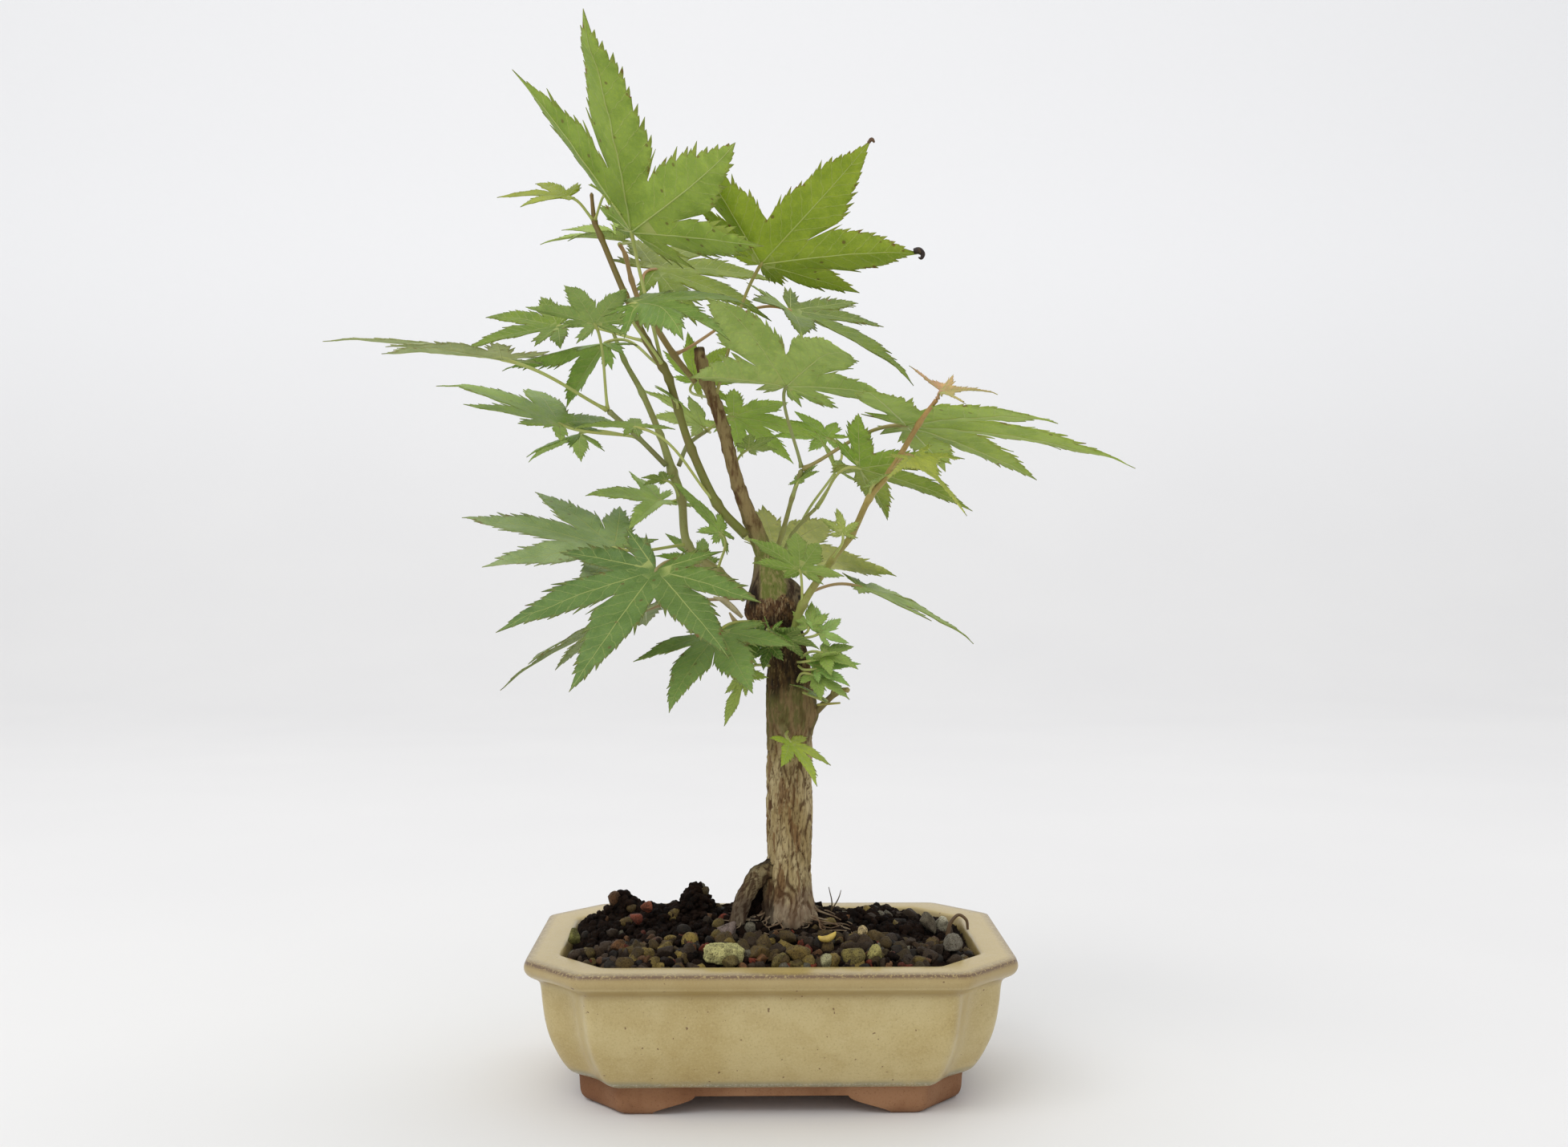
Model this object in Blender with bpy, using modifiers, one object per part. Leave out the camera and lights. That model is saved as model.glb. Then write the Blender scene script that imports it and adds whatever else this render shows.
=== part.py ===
"""A young palmate-leaved maple trained as a bonsai, in a glazed pot with indented corners.

Millimetre sizes below are turned into metres by MM.  While it is being modelled, the pot's centre
line passes through the origin, X runs along the pot, Y runs to its back, Z is up and the floor is at
FLOOR.  The last step moves the whole model so that the origin is on the floor, under the middle of its
bounding box.
"""

import math

import bmesh
import bpy
import numpy as np
from mathutils import Matrix, Vector

MM = 0.001
GAP = 0.3

# The floor's height and the pot, in mm.
FLOOR = -2.5
POT_LENGTH = 150.0
POT_DEPTH = 110.0
CORNER_ALONG = 17.0
CORNER_ACROSS = 20.0
# Outside of the wall from the floor up: height, how far it stands in from the rim, corner notch depth.
POT_OUTSIDE = (
    (FLOOR, 18.4, 0.0),
    (FLOOR + 1.3, 16.8, 0.3),
    (FLOOR + 3.4, 16.0, 0.8),
    (FLOOR + 8.4, 15.6, 1.0),
    (6.4, 14.6, 1.2),
    (7.6, 12.9, 1.6),
    (9.4, 11.6, 2.0),
    (11.8, 10.2, 2.6),
    (15.3, 8.6, 3.0),
    (19.0, 7.2, 3.2),
    (24.0, 6.0, 3.2),
    (30.0, 5.2, 3.0),
    (35.0, 4.7, 2.4),
    (36.8, 3.8, 1.6),
    (38.2, 1.6, 0.6),
    (39.6, 0.4, 0.1),
    (41.2, 0.0, 0.0),
    (42.7, 0.4, 0.0),
    (43.5, 1.6, 0.0),
)
# Inside of the wall from the rim down to the pot's floor.
POT_INSIDE = (
    (43.6, 9.4, 0.0),
    (43.0, 10.6, 0.0),
    (40.0, 11.4, 0.0),
    (28.0, 12.2, 0.6),
    (16.5, 15.5, 0.8),
    (10.5, 20.0, 0.4),
    (9.5, 23.0, 0.0),
)
FOOT_HEIGHT = 6.0
# How far the underside stands above the tops of the arches.
UNDERSIDE_STEP = 0.2
FOOT_WIDTH = 15.0
FRONT_ARCH = (46.0, 72.0)
SIDE_ARCH = (20.0, 36.0)
HOLE_PLACE = 32.0
HOLE_DIAMETER = 15.0

# Drainage mesh and the wire staple that holds it, in mm.
MESH_CELLS = 9
MESH_PITCH = 2.4
MESH_THICKNESS = 0.8
WIRE_DIAMETER = 1.0
WIRE_REACH = 11.0

# The soil's mound, in mm: height at the wall, height of the mound and its centre.
SOIL_EDGE = 40.6
SOIL_PEAK = 50.0
MOUND = (4.0, 2.0)
STONE = ((-14.5, -35.5, 45.4), (6.4, 4.2, 3.7))
STONE_UNEVENNESS = (0.88, 1.06)

# The woody frame, in mm: centre line points with the radius at each.
TRUNK = (
    (6, 0, 30, 9.0),
    (6, 0, 40, 9.4),
    (6, 0, 47, 8.8),
    (6, 0, 53, 7.9),
    (6, 0, 62, 7.4),
    (6, 0, 86, 7.2),
    (6, 0, 112, 7.3),
    (6, 0, 123, 7.4),
    (6, 0, 131, 6.8),
    (5, 0, 139, 5.7),
    (3, 0, 145, 7.2),
    (1, 0, 150, 8.1),
    (0, 0, 155, 7.2),
    (-1, 0, 160, 4.6),
    (-2, 0, 166, 3.0),
)
LEADER = (
    (-1, 0, 160, 3.0),
    (-2, 0, 166, 3.0),
    (-5, -1, 174, 2.7),
    (-9, -3, 184, 2.2),
    (-12, -4, 194, 2.0),
    (-15, -3, 206, 2.0),
    (-18, -2, 215, 2.0),
    (-21, 0, 223, 2.1),
    (-23, 2, 232, 1.7),
)
ROOTS = (
    ((1, -2, 66, 3.0), (-4, -4, 63, 2.9), (-8, -5, 57, 2.8), (-10, -5, 50, 2.6), (-11, -5, 42, 2.2)),
    ((8, 0, 40, 4.5), (18, -8, 34, 3.6), (28, -12, 28, 2.4), (38, -14, 24, 1.4)),
    ((4, 0, 40, 4.5), (-6, 10, 34, 3.4), (-16, 18, 28, 2.4), (-28, 22, 24, 1.4)),
    ((6, 2, 40, 4.5), (16, 12, 33, 3.2), (26, 20, 27, 1.8)),
    ((4, -2, 40, 4.5), (-2, -14, 33, 3.0), (-10, -24, 26, 1.6)),
)
SHOOTS = {
    "leader_shoot": ((-24, 1, 221, 0.9), (-31, 2, 230, 1.0), (-38, 5, 241, 1.0), (-42, 7, 247, 0.9),
                     (-45, 9, 255, 0.8), (-47, 11, 263, 0.7), (-49, 12, 267, 0.6)),
    "green_shoot": ((-8, -4, 172, 1.5), (-17, -8, 182, 1.4), (-25, -10, 199, 1.3), (-29, -10, 211, 1.2),
                    (-32, -10, 221, 1.2), (-34, -10, 225, 1.3), (-39, -9, 233, 1.1), (-46, -6, 248, 1.0),
                    (-54, -3, 267, 0.9), (-56, -2, 272, 0.8), (-57, -2, 281, 0.5)),
    "left_branch": ((-8, 6, 152, 1.8), (-17, 12, 160, 1.7), (-27, 15, 169, 1.4), (-29, 15, 184, 1.4),
                    (-32, 14, 193, 1.5), (-36, 15, 205, 1.1), (-42, 16, 219, 1.0), (-48, 17, 230, 0.8),
                    (-53, 17, 243, 0.5)),
    "left_twig": ((-34, 12, 195, 0.9), (-43, 8, 204, 0.8), (-52, 0, 212, 0.9)),
    "left_spur": ((-30, 16, 195, 0.8), (-27, 18, 202, 0.7), (-21, 22, 207, 0.6)),
    "middle_shoot": ((1, 5, 164, 1.3), (4, 5, 173, 1.2), (7, 1, 184, 1.0), (10, -3, 193, 1.1)),
    "thin_shoot": ((3, 8, 163, 0.9), (7, 9, 172, 0.8), (11, 8, 177, 0.8), (15, 7, 181, 0.7)),
    "right_shoot": ((7, -8, 139, 2.0), (10, -12, 150, 1.8), (19, -17, 164, 1.5), (25, -20, 172, 1.4),
                    (30, -26, 183, 1.4), (36, -32, 191, 1.3), (44, -40, 205, 1.1), (49, -44, 212, 0.8)),
    "stub_twig": ((14, -2, 115, 1.2), (21, -6, 122, 0.9), (25, -8, 123, 0.7)),
}

# A leaf's lobes: direction from the middle lobe in degrees, and length against the middle lobe.
SEVEN_LOBES = {-3: (-128, 0.40), -2: (-84, 0.70), -1: (-41, 0.93), 0: (0, 1.00),
               1: (41, 0.93), 2: (84, 0.70), 3: (128, 0.40)}
FIVE_LOBES = {-2: (-98, 0.52), -1: (-50, 0.88), 0: (0, 1.00), 1: (50, 0.88), 2: (98, 0.52)}
NOTCH_REACH = 0.30
SHOULDER_AT = 0.50
SHOULDER_HALF_ANGLE = 15.0
# A lobe's shoulder takes at most this share of the angle to the next lobe.
SHOULDER_SHARE = 0.42
FREE_NOTCH_ANGLE = 33.0
BLADE_THICKNESS = 0.5
PETIOLE_THICKNESS = 1.2
PETIOLE_WIDTH = 1.2
PETIOLE_STEPS = 7

# One row for each leaf, chosen by hand to lay the crown out: the shoot that it grows on and the number
# of that shoot's point, the base of its blade (mm), the length of its middle lobe (mm), the middle
# lobe's compass heading (0 is to the back, 90 to the right) and pitch, the blade's roll, how far it
# droops and how far its side lobes lift (degrees), and its number of lobes.
LEAVES = {
    "upper_leaf_1": ("green_shoot", 5, (-44, -5, 268), 72, (-170, 50, -35), 15, 15, 7),
    "upper_leaf_2": ("leader", 6, (-3, -5, 258), 52, (135, 45, -45), 20, 30, 7),
    "upper_leaf_3": ("green_shoot", 9, (-64, -5, 279), 23, (-90, 5, -25), 20, 10, 5),
    "upper_leaf_4": ("green_shoot", 9, (-52, -12, 278), 11, (165, -20, -40), 20, 0, 5),
    "upper_leaf_5": ("leader_shoot", 6, (-49, 28, 271), 28, (-100, 5, -15), 30, 30, 7),
    "upper_leaf_6": ("leader_shoot", 2, (-38, 25, 261), 46, (65, 5, 35), 20, -5, 7),
    "upper_leaf_7": ("leader_shoot", 1, (7, 30, 248), 47, (120, -25, 5), 15, 10, 7),
    "upper_leaf_8": ("green_shoot", 5, (-41, -30, 242), 47, (115, -5, 25), 55, -5, 7),
    "left_leaf_1": ("left_twig", 2, (-83, -20, 226), 54, (-100, 10, 0), 15, 5, 7),
    "left_leaf_2": ("green_shoot", 6, (-68, 2, 239), 31, (-100, -10, -30), 20, 10, 7),
    "left_leaf_3": ("left_twig", 2, (-55, -13, 238), 27, (-165, 25, 10), 20, -5, 7),
    "left_leaf_4": ("green_shoot", 5, (-54, 13, 235), 35, (-105, -25, 15), 20, -20, 7),
    "left_leaf_5": ("left_twig", 1, (-68, 5, 208), 42, (-65, 25, -10), 15, 0, 7),
    "left_leaf_6": ("left_twig", 1, (-63, 22, 206), 23, (-60, -15, 0), 25, -25, 5),
    "left_leaf_7": ("green_shoot", 1, (-42, -22, 205), 19, (-95, 5, -20), 20, 0, 5),
    "middle_leaf_1": ("leader", 6, (-25, 20, 223), 21, (135, 35, -45), 20, 10, 7),
    "middle_leaf_2": ("left_spur", 2, (-23, 42, 210), 25, (-110, 35, 10), 20, 0, 5),
    "middle_leaf_3": ("middle_shoot", 3, (5, -8, 219), 51, (160, 20, -20), 40, -5, 7),
    "middle_leaf_4": ("left_spur", 2, (-12, 23, 212), 30, (100, -10, -30), 20, -5, 7),
    "middle_leaf_5": ("thin_shoot", 2, (20, 38, 206), 24, (-100, 20, 15), 20, 0, 7),
    "middle_leaf_6": ("left_branch", 1, (-16, 5, 173), 23, (-80, 40, 30), 20, -5, 7),
    "middle_leaf_7": ("left_branch", 3, (-37, 28, 184), 26, (-115, 10, -20), 25, 10, 7),
    "middle_leaf_8": ("left_branch", 2, (-23, 24, 163), 18, (-60, 40, -20), 20, 0, 5),
    "right_leaf_1": ("middle_shoot", 3, (42, -18, 206), 72, (105, -5, -10), 20, 0, 7),
    "right_leaf_2": ("thin_shoot", 3, (28, -12, 193), 38, (95, -15, -25), 20, 5, 7),
    "right_leaf_3": ("thin_shoot", 3, (21, 13, 194), 16, (-160, 40, -50), 15, 20, 5),
    "right_leaf_4": ("trunk", 11, (30, 15, 155), 43, (85, -20, 10), 20, 0, 5),
    "right_leaf_5": ("right_shoot", 2, (22, -25, 172), 10, (-160, 60, -10), 20, 0, 5),
    "right_young_leaf": ("right_shoot", 5, (42, -42, 195), 25, (120, -40, 15), 20, 5, 5),
    "right_tip_leaf": ("right_shoot", 7, (50, -46, 214), 17, (90, 5, 30), 25, 10, 5),
    "lower_leaf_1": ("trunk", 11, (-35, -32, 161), 53, (-150, -35, -15), 20, 5, 7),
    "lower_leaf_2": ("left_branch", 2, (-50, -1, 168), 50, (-90, 15, -25), 15, 0, 7),
    "lower_leaf_3": ("trunk", 10, (-16, -18, 142), 39, (-150, -30, 0), 20, -5, 7),
    "lower_leaf_4": ("left_branch", 0, (-40, 2, 148), 54, (-90, -22, 5), 20, 0, 7),
    "lower_leaf_5": ("trunk", 8, (-8, -6, 128), 18, (-110, -65, -30), 10, 0, 5),
    "neck_leaf_1": ("right_shoot", 1, (9, -18, 161), 22, (-165, 40, -10), 20, 0, 7),
    "neck_leaf_2": ("trunk", 13, (2, 38, 166), 45, (110, -5, -35), 20, 0, 7),
    "trunk_leaf_1": ("right_shoot", 0, (15, -13, 141), 12, (50, 25, 55), 20, 10, 5),
    "trunk_leaf_2": ("trunk", 8, (14, -14, 130), 15, (80, 10, 35), 20, 5, 5),
    "trunk_leaf_3": ("trunk", 7, (16, -15, 121), 11, (-95, 30, -5), 20, 0, 5),
    "trunk_leaf_4": ("trunk", 9, (0, -16, 142), 11, (140, -15, -10), 15, 40, 5),
    "trunk_leaf_5": ("trunk", 6, (6, -13, 107), 18, (135, -40, -5), 20, 5, 5),
}
# Lobes that stray from the pattern, by leaf: length against the pattern's, degrees of turn and of lift.
STRAY_LOBES = {
    "upper_leaf_1": {0: (1.08, 0, 0), 1: (0.95, 5, 0), 2: (0.6, 15, 5), 3: (0.6, -15, 0), -1: (1, -10, 0),
                     -3: (0.8, 0, 0)},
    "upper_leaf_2": {0: (1.05, -10, 5), 1: (0.9, 15, -25), 2: (0.9, 10, 5), -1: (1.05, -10, -5)},
    "upper_leaf_7": {0: (1.1, -5, 0), -1: (0.8, -10, 5), 1: (1, 10, 0), -2: (1.05, 5, 5)},
    "upper_leaf_8": {0: (0.8, 15, 0), 1: (0.95, 0, 15), -2: (0.95, -15, 0), 2: (0.5, -5, -15),
                     3: (0.6, 5, 0)},
    "left_leaf_1": {-2: (0.7, 0, 0), -1: (0.9, 0, -5), 2: (0.8, 10, 5)},
    "left_leaf_2": {-1: (0.6, -15, 0)},
    "left_leaf_3": {2: (0.6, 0, 15)},
    "left_leaf_4": {-1: (0.5, 0, 0), 0: (1, 0, 15), 1: (0.85, 5, -10), 2: (0.6, 10, 0), 3: (0.4, 0, 0),
                    -2: (0.7, -10, -15)},
    "left_leaf_5": {0: (1.1, -5, 0), -1: (0.8, 0, 0), -2: (0.7, 0, 5), 1: (1.15, 0, 0), 2: (1.1, 10, 0)},
    "left_leaf_7": {-1: (0.6, -20, 0), 1: (0.8, 40, 0), 2: (1.4, 60, 0)},
    "middle_leaf_3": {-3: (0.5, 0, 0), -2: (0.5, 0, 0), -1: (0.85, 0, -5), 0: (1, -5, 0), 1: (1.05, 10, 15),
                      2: (0.95, 0, -10), 3: (0.5, 0, 0)},
    "middle_leaf_6": {-1: (0.8, 0, 0), 0: (1, -10, 10), 1: (0.5, 5, -10), 2: (0.6, 0, 0)},
    "middle_leaf_7": {1: (0.75, 25, 10), -2: (1.2, -30, 5), -1: (1, -10, -15)},
    "right_leaf_1": {-3: (0.6, 0, 0), -1: (0.9, -10, 0), 2: (1.05, 10, 0), 3: (0.6, 0, 0)},
    "right_leaf_2": {2: (1.05, 15, 5), -1: (0.9, -25, 0), -2: (1, 5, 5)},
    "right_leaf_3": {-1: (1.3, 0, 0), -2: (1.2, -10, 0)},
    "right_leaf_4": {1: (0.7, -25, 0), 2: (0.6, 0, 0)},
    "right_young_leaf": {-1: (1, -25, 0), 1: (1, 25, 0)},
    "right_tip_leaf": {-2: (1.5, -35, 10), -1: (0.5, 0, 20), 1: (0.8, 10, 0), 2: (0.7, 0, 0)},
    "lower_leaf_1": {-1: (1, -10, 5), 1: (1.05, 0, 0), 2: (0.9, 5, -5)},
    "lower_leaf_2": {1: (1, 5, 0)},
    "lower_leaf_3": {1: (0.8, 20, 0), 2: (0.5, 15, 0)},
    "lower_leaf_5": {-1: (0.5, 20, 0), 1: (0.6, -20, 0)},
    "neck_leaf_1": {0: (1, -10, 0), -1: (1, 10, 0)},
    "neck_leaf_2": {-1: (0.4, 0, 0), -2: (0.5, 0, 0), 1: (1, 5, 0)},
    "trunk_leaf_3": {1: (0.6, 0, 0), 2: (0.5, 0, 0)},
}

COLOURS = {
    "glazed_stoneware": ((0.47, 0.37, 0.16, 1), 0.3),
    "plastic_mesh": ((0.02, 0.02, 0.02, 1), 0.6),
    "aluminium_wire": ((0.25, 0.13, 0.07, 1), 0.4),
    "gravel_soil": ((0.05, 0.03, 0.02, 1), 0.95),
    "pumice": ((0.55, 0.5, 0.25, 1), 0.85),
    "bark": ((0.3, 0.22, 0.15, 1), 0.9),
    "young_bark": ((0.22, 0.2, 0.08, 1), 0.6),
    "leaf": ((0.16, 0.3, 0.08, 1), 0.5),
    "young_leaf": ((0.45, 0.5, 0.12, 1), 0.5),
}


def clear_scene():
    for old in list(bpy.data.objects):
        bpy.data.objects.remove(old, do_unlink=True)


def new_collection(name):
    collection = bpy.data.collections.new(name)
    bpy.context.scene.collection.children.link(collection)
    return collection


def make_materials():
    materials = {}
    for name, (colour, roughness) in COLOURS.items():
        material = bpy.data.materials.new(name)
        material.use_nodes = True
        shader = material.node_tree.nodes["Principled BSDF"]
        shader.inputs["Base Color"].default_value = colour
        shader.inputs["Roughness"].default_value = roughness
        materials[name] = material
    return materials


def add_mesh(name, mesh, material, collection):
    piece = bpy.data.objects.new(name, mesh)
    collection.objects.link(piece)
    if material is not None:
        piece.data.materials.clear()
        piece.data.materials.append(material)
    return piece


def mesh_from(name, points, faces):
    """A mesh from points in mm."""
    mesh = bpy.data.meshes.new(name)
    mesh.from_pydata([Vector(point) * MM for point in points], [], faces)
    mesh.validate()
    return mesh


def cut(piece, cutters, operation="DIFFERENCE"):
    for cutter in cutters:
        cutter.hide_render = True
        cutter.display_type = "WIRE"
        boolean = piece.modifiers.new(operation.lower(), "BOOLEAN")
        boolean.operation = operation
        boolean.object = cutter


# ---- pot ----

def pot_section(height, inset, notch):
    """One level of the pot: a rectangle whose cut corners are pushed in by the notch."""
    half_x = POT_LENGTH / 2 - inset
    half_y = POT_DEPTH / 2 - inset
    shrink = 0.25 * inset
    along = CORNER_ALONG - shrink
    across = CORNER_ACROSS - shrink
    corner = []
    for step in range(7):
        share = step / 6
        push = notch * math.sin(math.pi * share) ** 2
        x = half_x - along * share - push * 0.75
        y = half_y - across * (1 - share) - push * 0.66
        corner.append((x, y))
    points = []
    for sign_x, sign_y in ((1, 1), (-1, 1), (-1, -1), (1, -1)):
        ordered = corner if sign_x * sign_y > 0 else corner[::-1]
        points += [(sign_x * x, sign_y * y, height) for x, y in ordered]
    return points


def loft(name, sections):
    """A closed body through sections of equal count, capped at both ends."""
    count = len(sections[0])
    points = [point for section in sections for point in section]
    faces = []
    for level in range(len(sections) - 1):
        low = level * count
        for i in range(count):
            j = (i + 1) % count
            faces.append((low + i, low + j, low + count + j, low + count + i))
    faces.append(tuple(range(count - 1, -1, -1)))
    faces.append(tuple(range((len(sections) - 1) * count, len(sections) * count)))
    return mesh_from(name, points, faces)


def box_cutter(name, size, centre, cutters):
    mesh = bpy.data.meshes.new(name)
    box = bmesh.new()
    bmesh.ops.create_cube(box, size=1.0)
    bmesh.ops.scale(box, vec=Vector(size) * MM, verts=box.verts)
    bmesh.ops.translate(box, vec=Vector(centre) * MM, verts=box.verts)
    box.to_mesh(mesh)
    box.free()
    return add_mesh(name, mesh, None, cutters)


def arch_cutter(name, widths, reach, along_y, cutters):
    """The gap between two feet: a flat-topped arch, wider at the floor, extruded right through."""
    top, bottom = widths[0] / 2, widths[1] / 2
    high = FLOOR + FOOT_HEIGHT
    outline = [(-bottom, FLOOR - 2.0), (bottom, FLOOR - 2.0), (bottom, FLOOR), (top, high), (-top, high),
               (-bottom, FLOOR)]
    near = [(u, -reach, v) if along_y else (reach, u, v) for u, v in outline]
    far = [(u, reach, v) if along_y else (-reach, u, v) for u, v in outline]
    return add_mesh(name, loft(name, [far, near]), None, cutters)


def make_pot(material, parts, cutters):
    levels = [pot_section(*level) for level in POT_OUTSIDE + POT_INSIDE]
    pot = add_mesh("pot", loft("pot", levels), material, parts)
    tools = [
        arch_cutter("front_arch", FRONT_ARCH, POT_DEPTH, True, cutters),
        arch_cutter("side_arch", SIDE_ARCH, POT_LENGTH, False, cutters),
    ]
    foot_inset = POT_OUTSIDE[2][1] + FOOT_WIDTH
    inner = (POT_LENGTH - 2 * foot_inset, POT_DEPTH - 2 * foot_inset, 2 * (FOOT_HEIGHT + UNDERSIDE_STEP))
    tools.append(box_cutter("foot_inside", inner, (0, 0, FLOOR), cutters))
    for side in (-1, 1):
        mesh = bpy.data.meshes.new("drain_hole")
        hole = bmesh.new()
        bmesh.ops.create_cone(hole, cap_ends=True, segments=24, radius1=HOLE_DIAMETER / 2 * MM,
                              radius2=HOLE_DIAMETER / 2 * MM, depth=20 * MM)
        bmesh.ops.translate(hole, vec=(side * HOLE_PLACE * MM, 0, 8 * MM), verts=hole.verts)
        hole.to_mesh(mesh)
        hole.free()
        tools.append(add_mesh("drain_hole", mesh, None, cutters))
    cut(pot, tools)
    return pot


# ---- drainage ----

def make_mesh_square(name, side, material, parts):
    """A woven plastic square over a drainage hole: a grid with every second cell open."""
    low = POT_INSIDE[-1][0] + GAP
    half = MESH_CELLS * MESH_PITCH / 2
    points = []
    for row in range(MESH_CELLS + 1):
        for column in range(MESH_CELLS + 1):
            x = side * HOLE_PLACE - half + column * MESH_PITCH
            points.append((x, -half + row * MESH_PITCH, low))
    faces = []
    width = MESH_CELLS + 1
    for row in range(MESH_CELLS):
        for column in range(MESH_CELLS):
            if row % 2 and column % 2:
                continue
            a = row * width + column
            faces.append((a, a + 1, a + 1 + width, a + width))
    square = add_mesh(name, mesh_from(name, points, faces), material, parts)
    shell = square.modifiers.new("thickness", "SOLIDIFY")
    shell.thickness = MESH_THICKNESS * MM
    shell.offset = 1.0
    return square


def make_tube(name, route, material, collection, resolution=2):
    """A tube along points (x, y, z, radius) in mm, with closed ends, as a mesh."""
    curve = bpy.data.curves.new(name, "CURVE")
    curve.dimensions = "3D"
    curve.bevel_depth = MM
    curve.bevel_resolution = resolution
    curve.use_fill_caps = True
    spline = curve.splines.new("POLY")
    spline.points.add(len(route) - 1)
    for point, (x, y, z, radius) in zip(spline.points, route):
        point.co = (x * MM, y * MM, z * MM, 1)
        point.radius = radius
    drawn = bpy.data.objects.new(name + "_route", curve)
    collection.objects.link(drawn)
    bpy.context.view_layer.update()
    seen = drawn.evaluated_get(bpy.context.evaluated_depsgraph_get())
    mesh = bpy.data.meshes.new_from_object(seen)
    bpy.data.objects.remove(drawn, do_unlink=True)
    welded = bmesh.new()
    welded.from_mesh(mesh)
    bmesh.ops.remove_doubles(welded, verts=welded.verts, dist=0.00001)
    bmesh.ops.recalc_face_normals(welded, faces=welded.faces)
    welded.to_mesh(mesh)
    welded.free()
    mesh.name = name
    piece = add_mesh(name, mesh, material, collection)
    piece.data.shade_smooth()
    return piece


def make_staple(name, side, material, parts):
    """A bent wire over the mesh square: both legs pass through the hole and turn out below the pot."""
    radius = WIRE_DIAMETER / 2
    leg = MESH_PITCH
    high = POT_INSIDE[-1][0] + GAP + MESH_THICKNESS + GAP + radius
    low = FLOOR + FOOT_HEIGHT - GAP - radius
    x = side * HOLE_PLACE + leg
    route = [(x, -WIRE_REACH, low), (x, -leg, low), (x, -leg, high), (x, leg, high), (x, leg, low),
             (x, WIRE_REACH, low)]
    return make_tube(name, [point + (radius,) for point in route], material, parts, 1)


# ---- woody frame ----

def frame_routes():
    """Every branch that others may grow on, by name."""
    return {"trunk": TRUNK, "leader": LEADER, **SHOOTS}


def lengthen(route, extra):
    """A route whose two ends reach further by the extra length."""
    ends = []
    for end, inner in ((route[0], route[1]), (route[-1], route[-2])):
        way = Vector(end[:3]) - Vector(inner[:3])
        ends.append(tuple(Vector(end[:3]) + way.normalized() * extra) + (end[3],))
    return [ends[0]] + list(route[1:-1]) + [ends[1]]


def make_trunk(name, swell, material, collection):
    """Trunk, graft knob, leader and roots joined in one body; swell makes them all a little thicker."""
    routes = [TRUNK, LEADER] + list(ROOTS)
    tubes = []
    for number, route in enumerate(routes):
        thicker = [(x, y, z, radius + swell) for x, y, z, radius in lengthen(route, swell)]
        resolution = 5 if number == 0 else 2
        tubes.append(make_tube(name if number == 0 else f"{name}_limb_{number}", thicker, material,
                               collection, resolution))
    return tubes


def distance_to_route(point, route):
    """How far a point is outside the surface of a tapering tube."""
    nearest = 1000.0
    for start, end in zip(route, route[1:]):
        a = np.array(start[:3], float)
        b = np.array(end[:3], float)
        share = float(np.clip(np.dot(point - a, b - a) / np.dot(b - a, b - a), 0, 1))
        radius = start[3] + (end[3] - start[3]) * share
        nearest = min(nearest, float(np.linalg.norm(point - a - (b - a) * share)) - radius)
    return nearest


def clear_start(origin, toward, radius, avoid):
    """Step from a branch's centre line toward a point until a tube of this radius clears the wood."""
    origin = np.array(origin, float)
    step = np.array(toward, float) - origin
    step /= np.linalg.norm(step)
    travel = 0.0
    routes = [route for name, route in frame_routes().items() if name != avoid]
    while min(distance_to_route(origin + step * travel, route) for route in routes) < radius + GAP:
        travel += 0.1
    return origin + step * travel


def make_shoot(name, route, material, parts):
    first = clear_start(route[0][:3], route[1][:3], route[0][3], name)
    path = [tuple(first) + (route[0][3],)] + list(route[1:])
    return make_tube(name, path, material, parts, 1)


# ---- leaves ----

def leaf_frame(heading, pitch, roll):
    """Axes of a blade, as columns: across it, along its middle lobe, and out of its upper side."""
    heading, pitch, roll = (math.radians(angle) for angle in (heading, pitch, roll))
    level = np.array([math.cos(heading), -math.sin(heading), 0.0])
    ahead = np.array([math.sin(heading), math.cos(heading), 0.0])
    along = ahead * math.cos(pitch) + np.array([0.0, 0.0, math.sin(pitch)])
    upright = np.cross(level, along)
    across = level * math.cos(roll) - upright * math.sin(roll)
    return np.column_stack([across, along, np.cross(across, along)])


def blade_point(reach, angle, lift, size, droop):
    """A point of the blade: a vein leaves the base at the lift angle and bends down with its length."""
    steps = 8
    out = 0.0
    height = 0.0
    for step in range(steps):
        share = (step + 0.5) / steps
        slope = math.radians(lift) - math.radians(droop) * (reach * share / size) ** 2
        out += math.cos(slope) * reach / steps
        height += math.sin(slope) * reach / steps
    return (out * math.sin(angle), out * math.cos(angle), height)


def bezier(start, first, second, end, share):
    rest = 1 - share
    return (start * rest ** 3 + first * 3 * rest ** 2 * share + second * 3 * rest * share ** 2
            + end * share ** 3)


def leaf_lobes(name, count, size, cup):
    """Each lobe's direction (radians), length (mm) and lift (degrees), from left to right."""
    pattern = SEVEN_LOBES if count == 7 else FIVE_LOBES
    stray = STRAY_LOBES.get(name, {})
    lobes = []
    for index in sorted(pattern):
        angle, length = pattern[index]
        factor, turn, extra = stray.get(index, (1, 0, 0))
        angle = math.radians(angle + turn)
        lobes.append((angle, length * factor * size, cup * (1 - math.cos(angle)) + extra))
    return lobes


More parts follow.
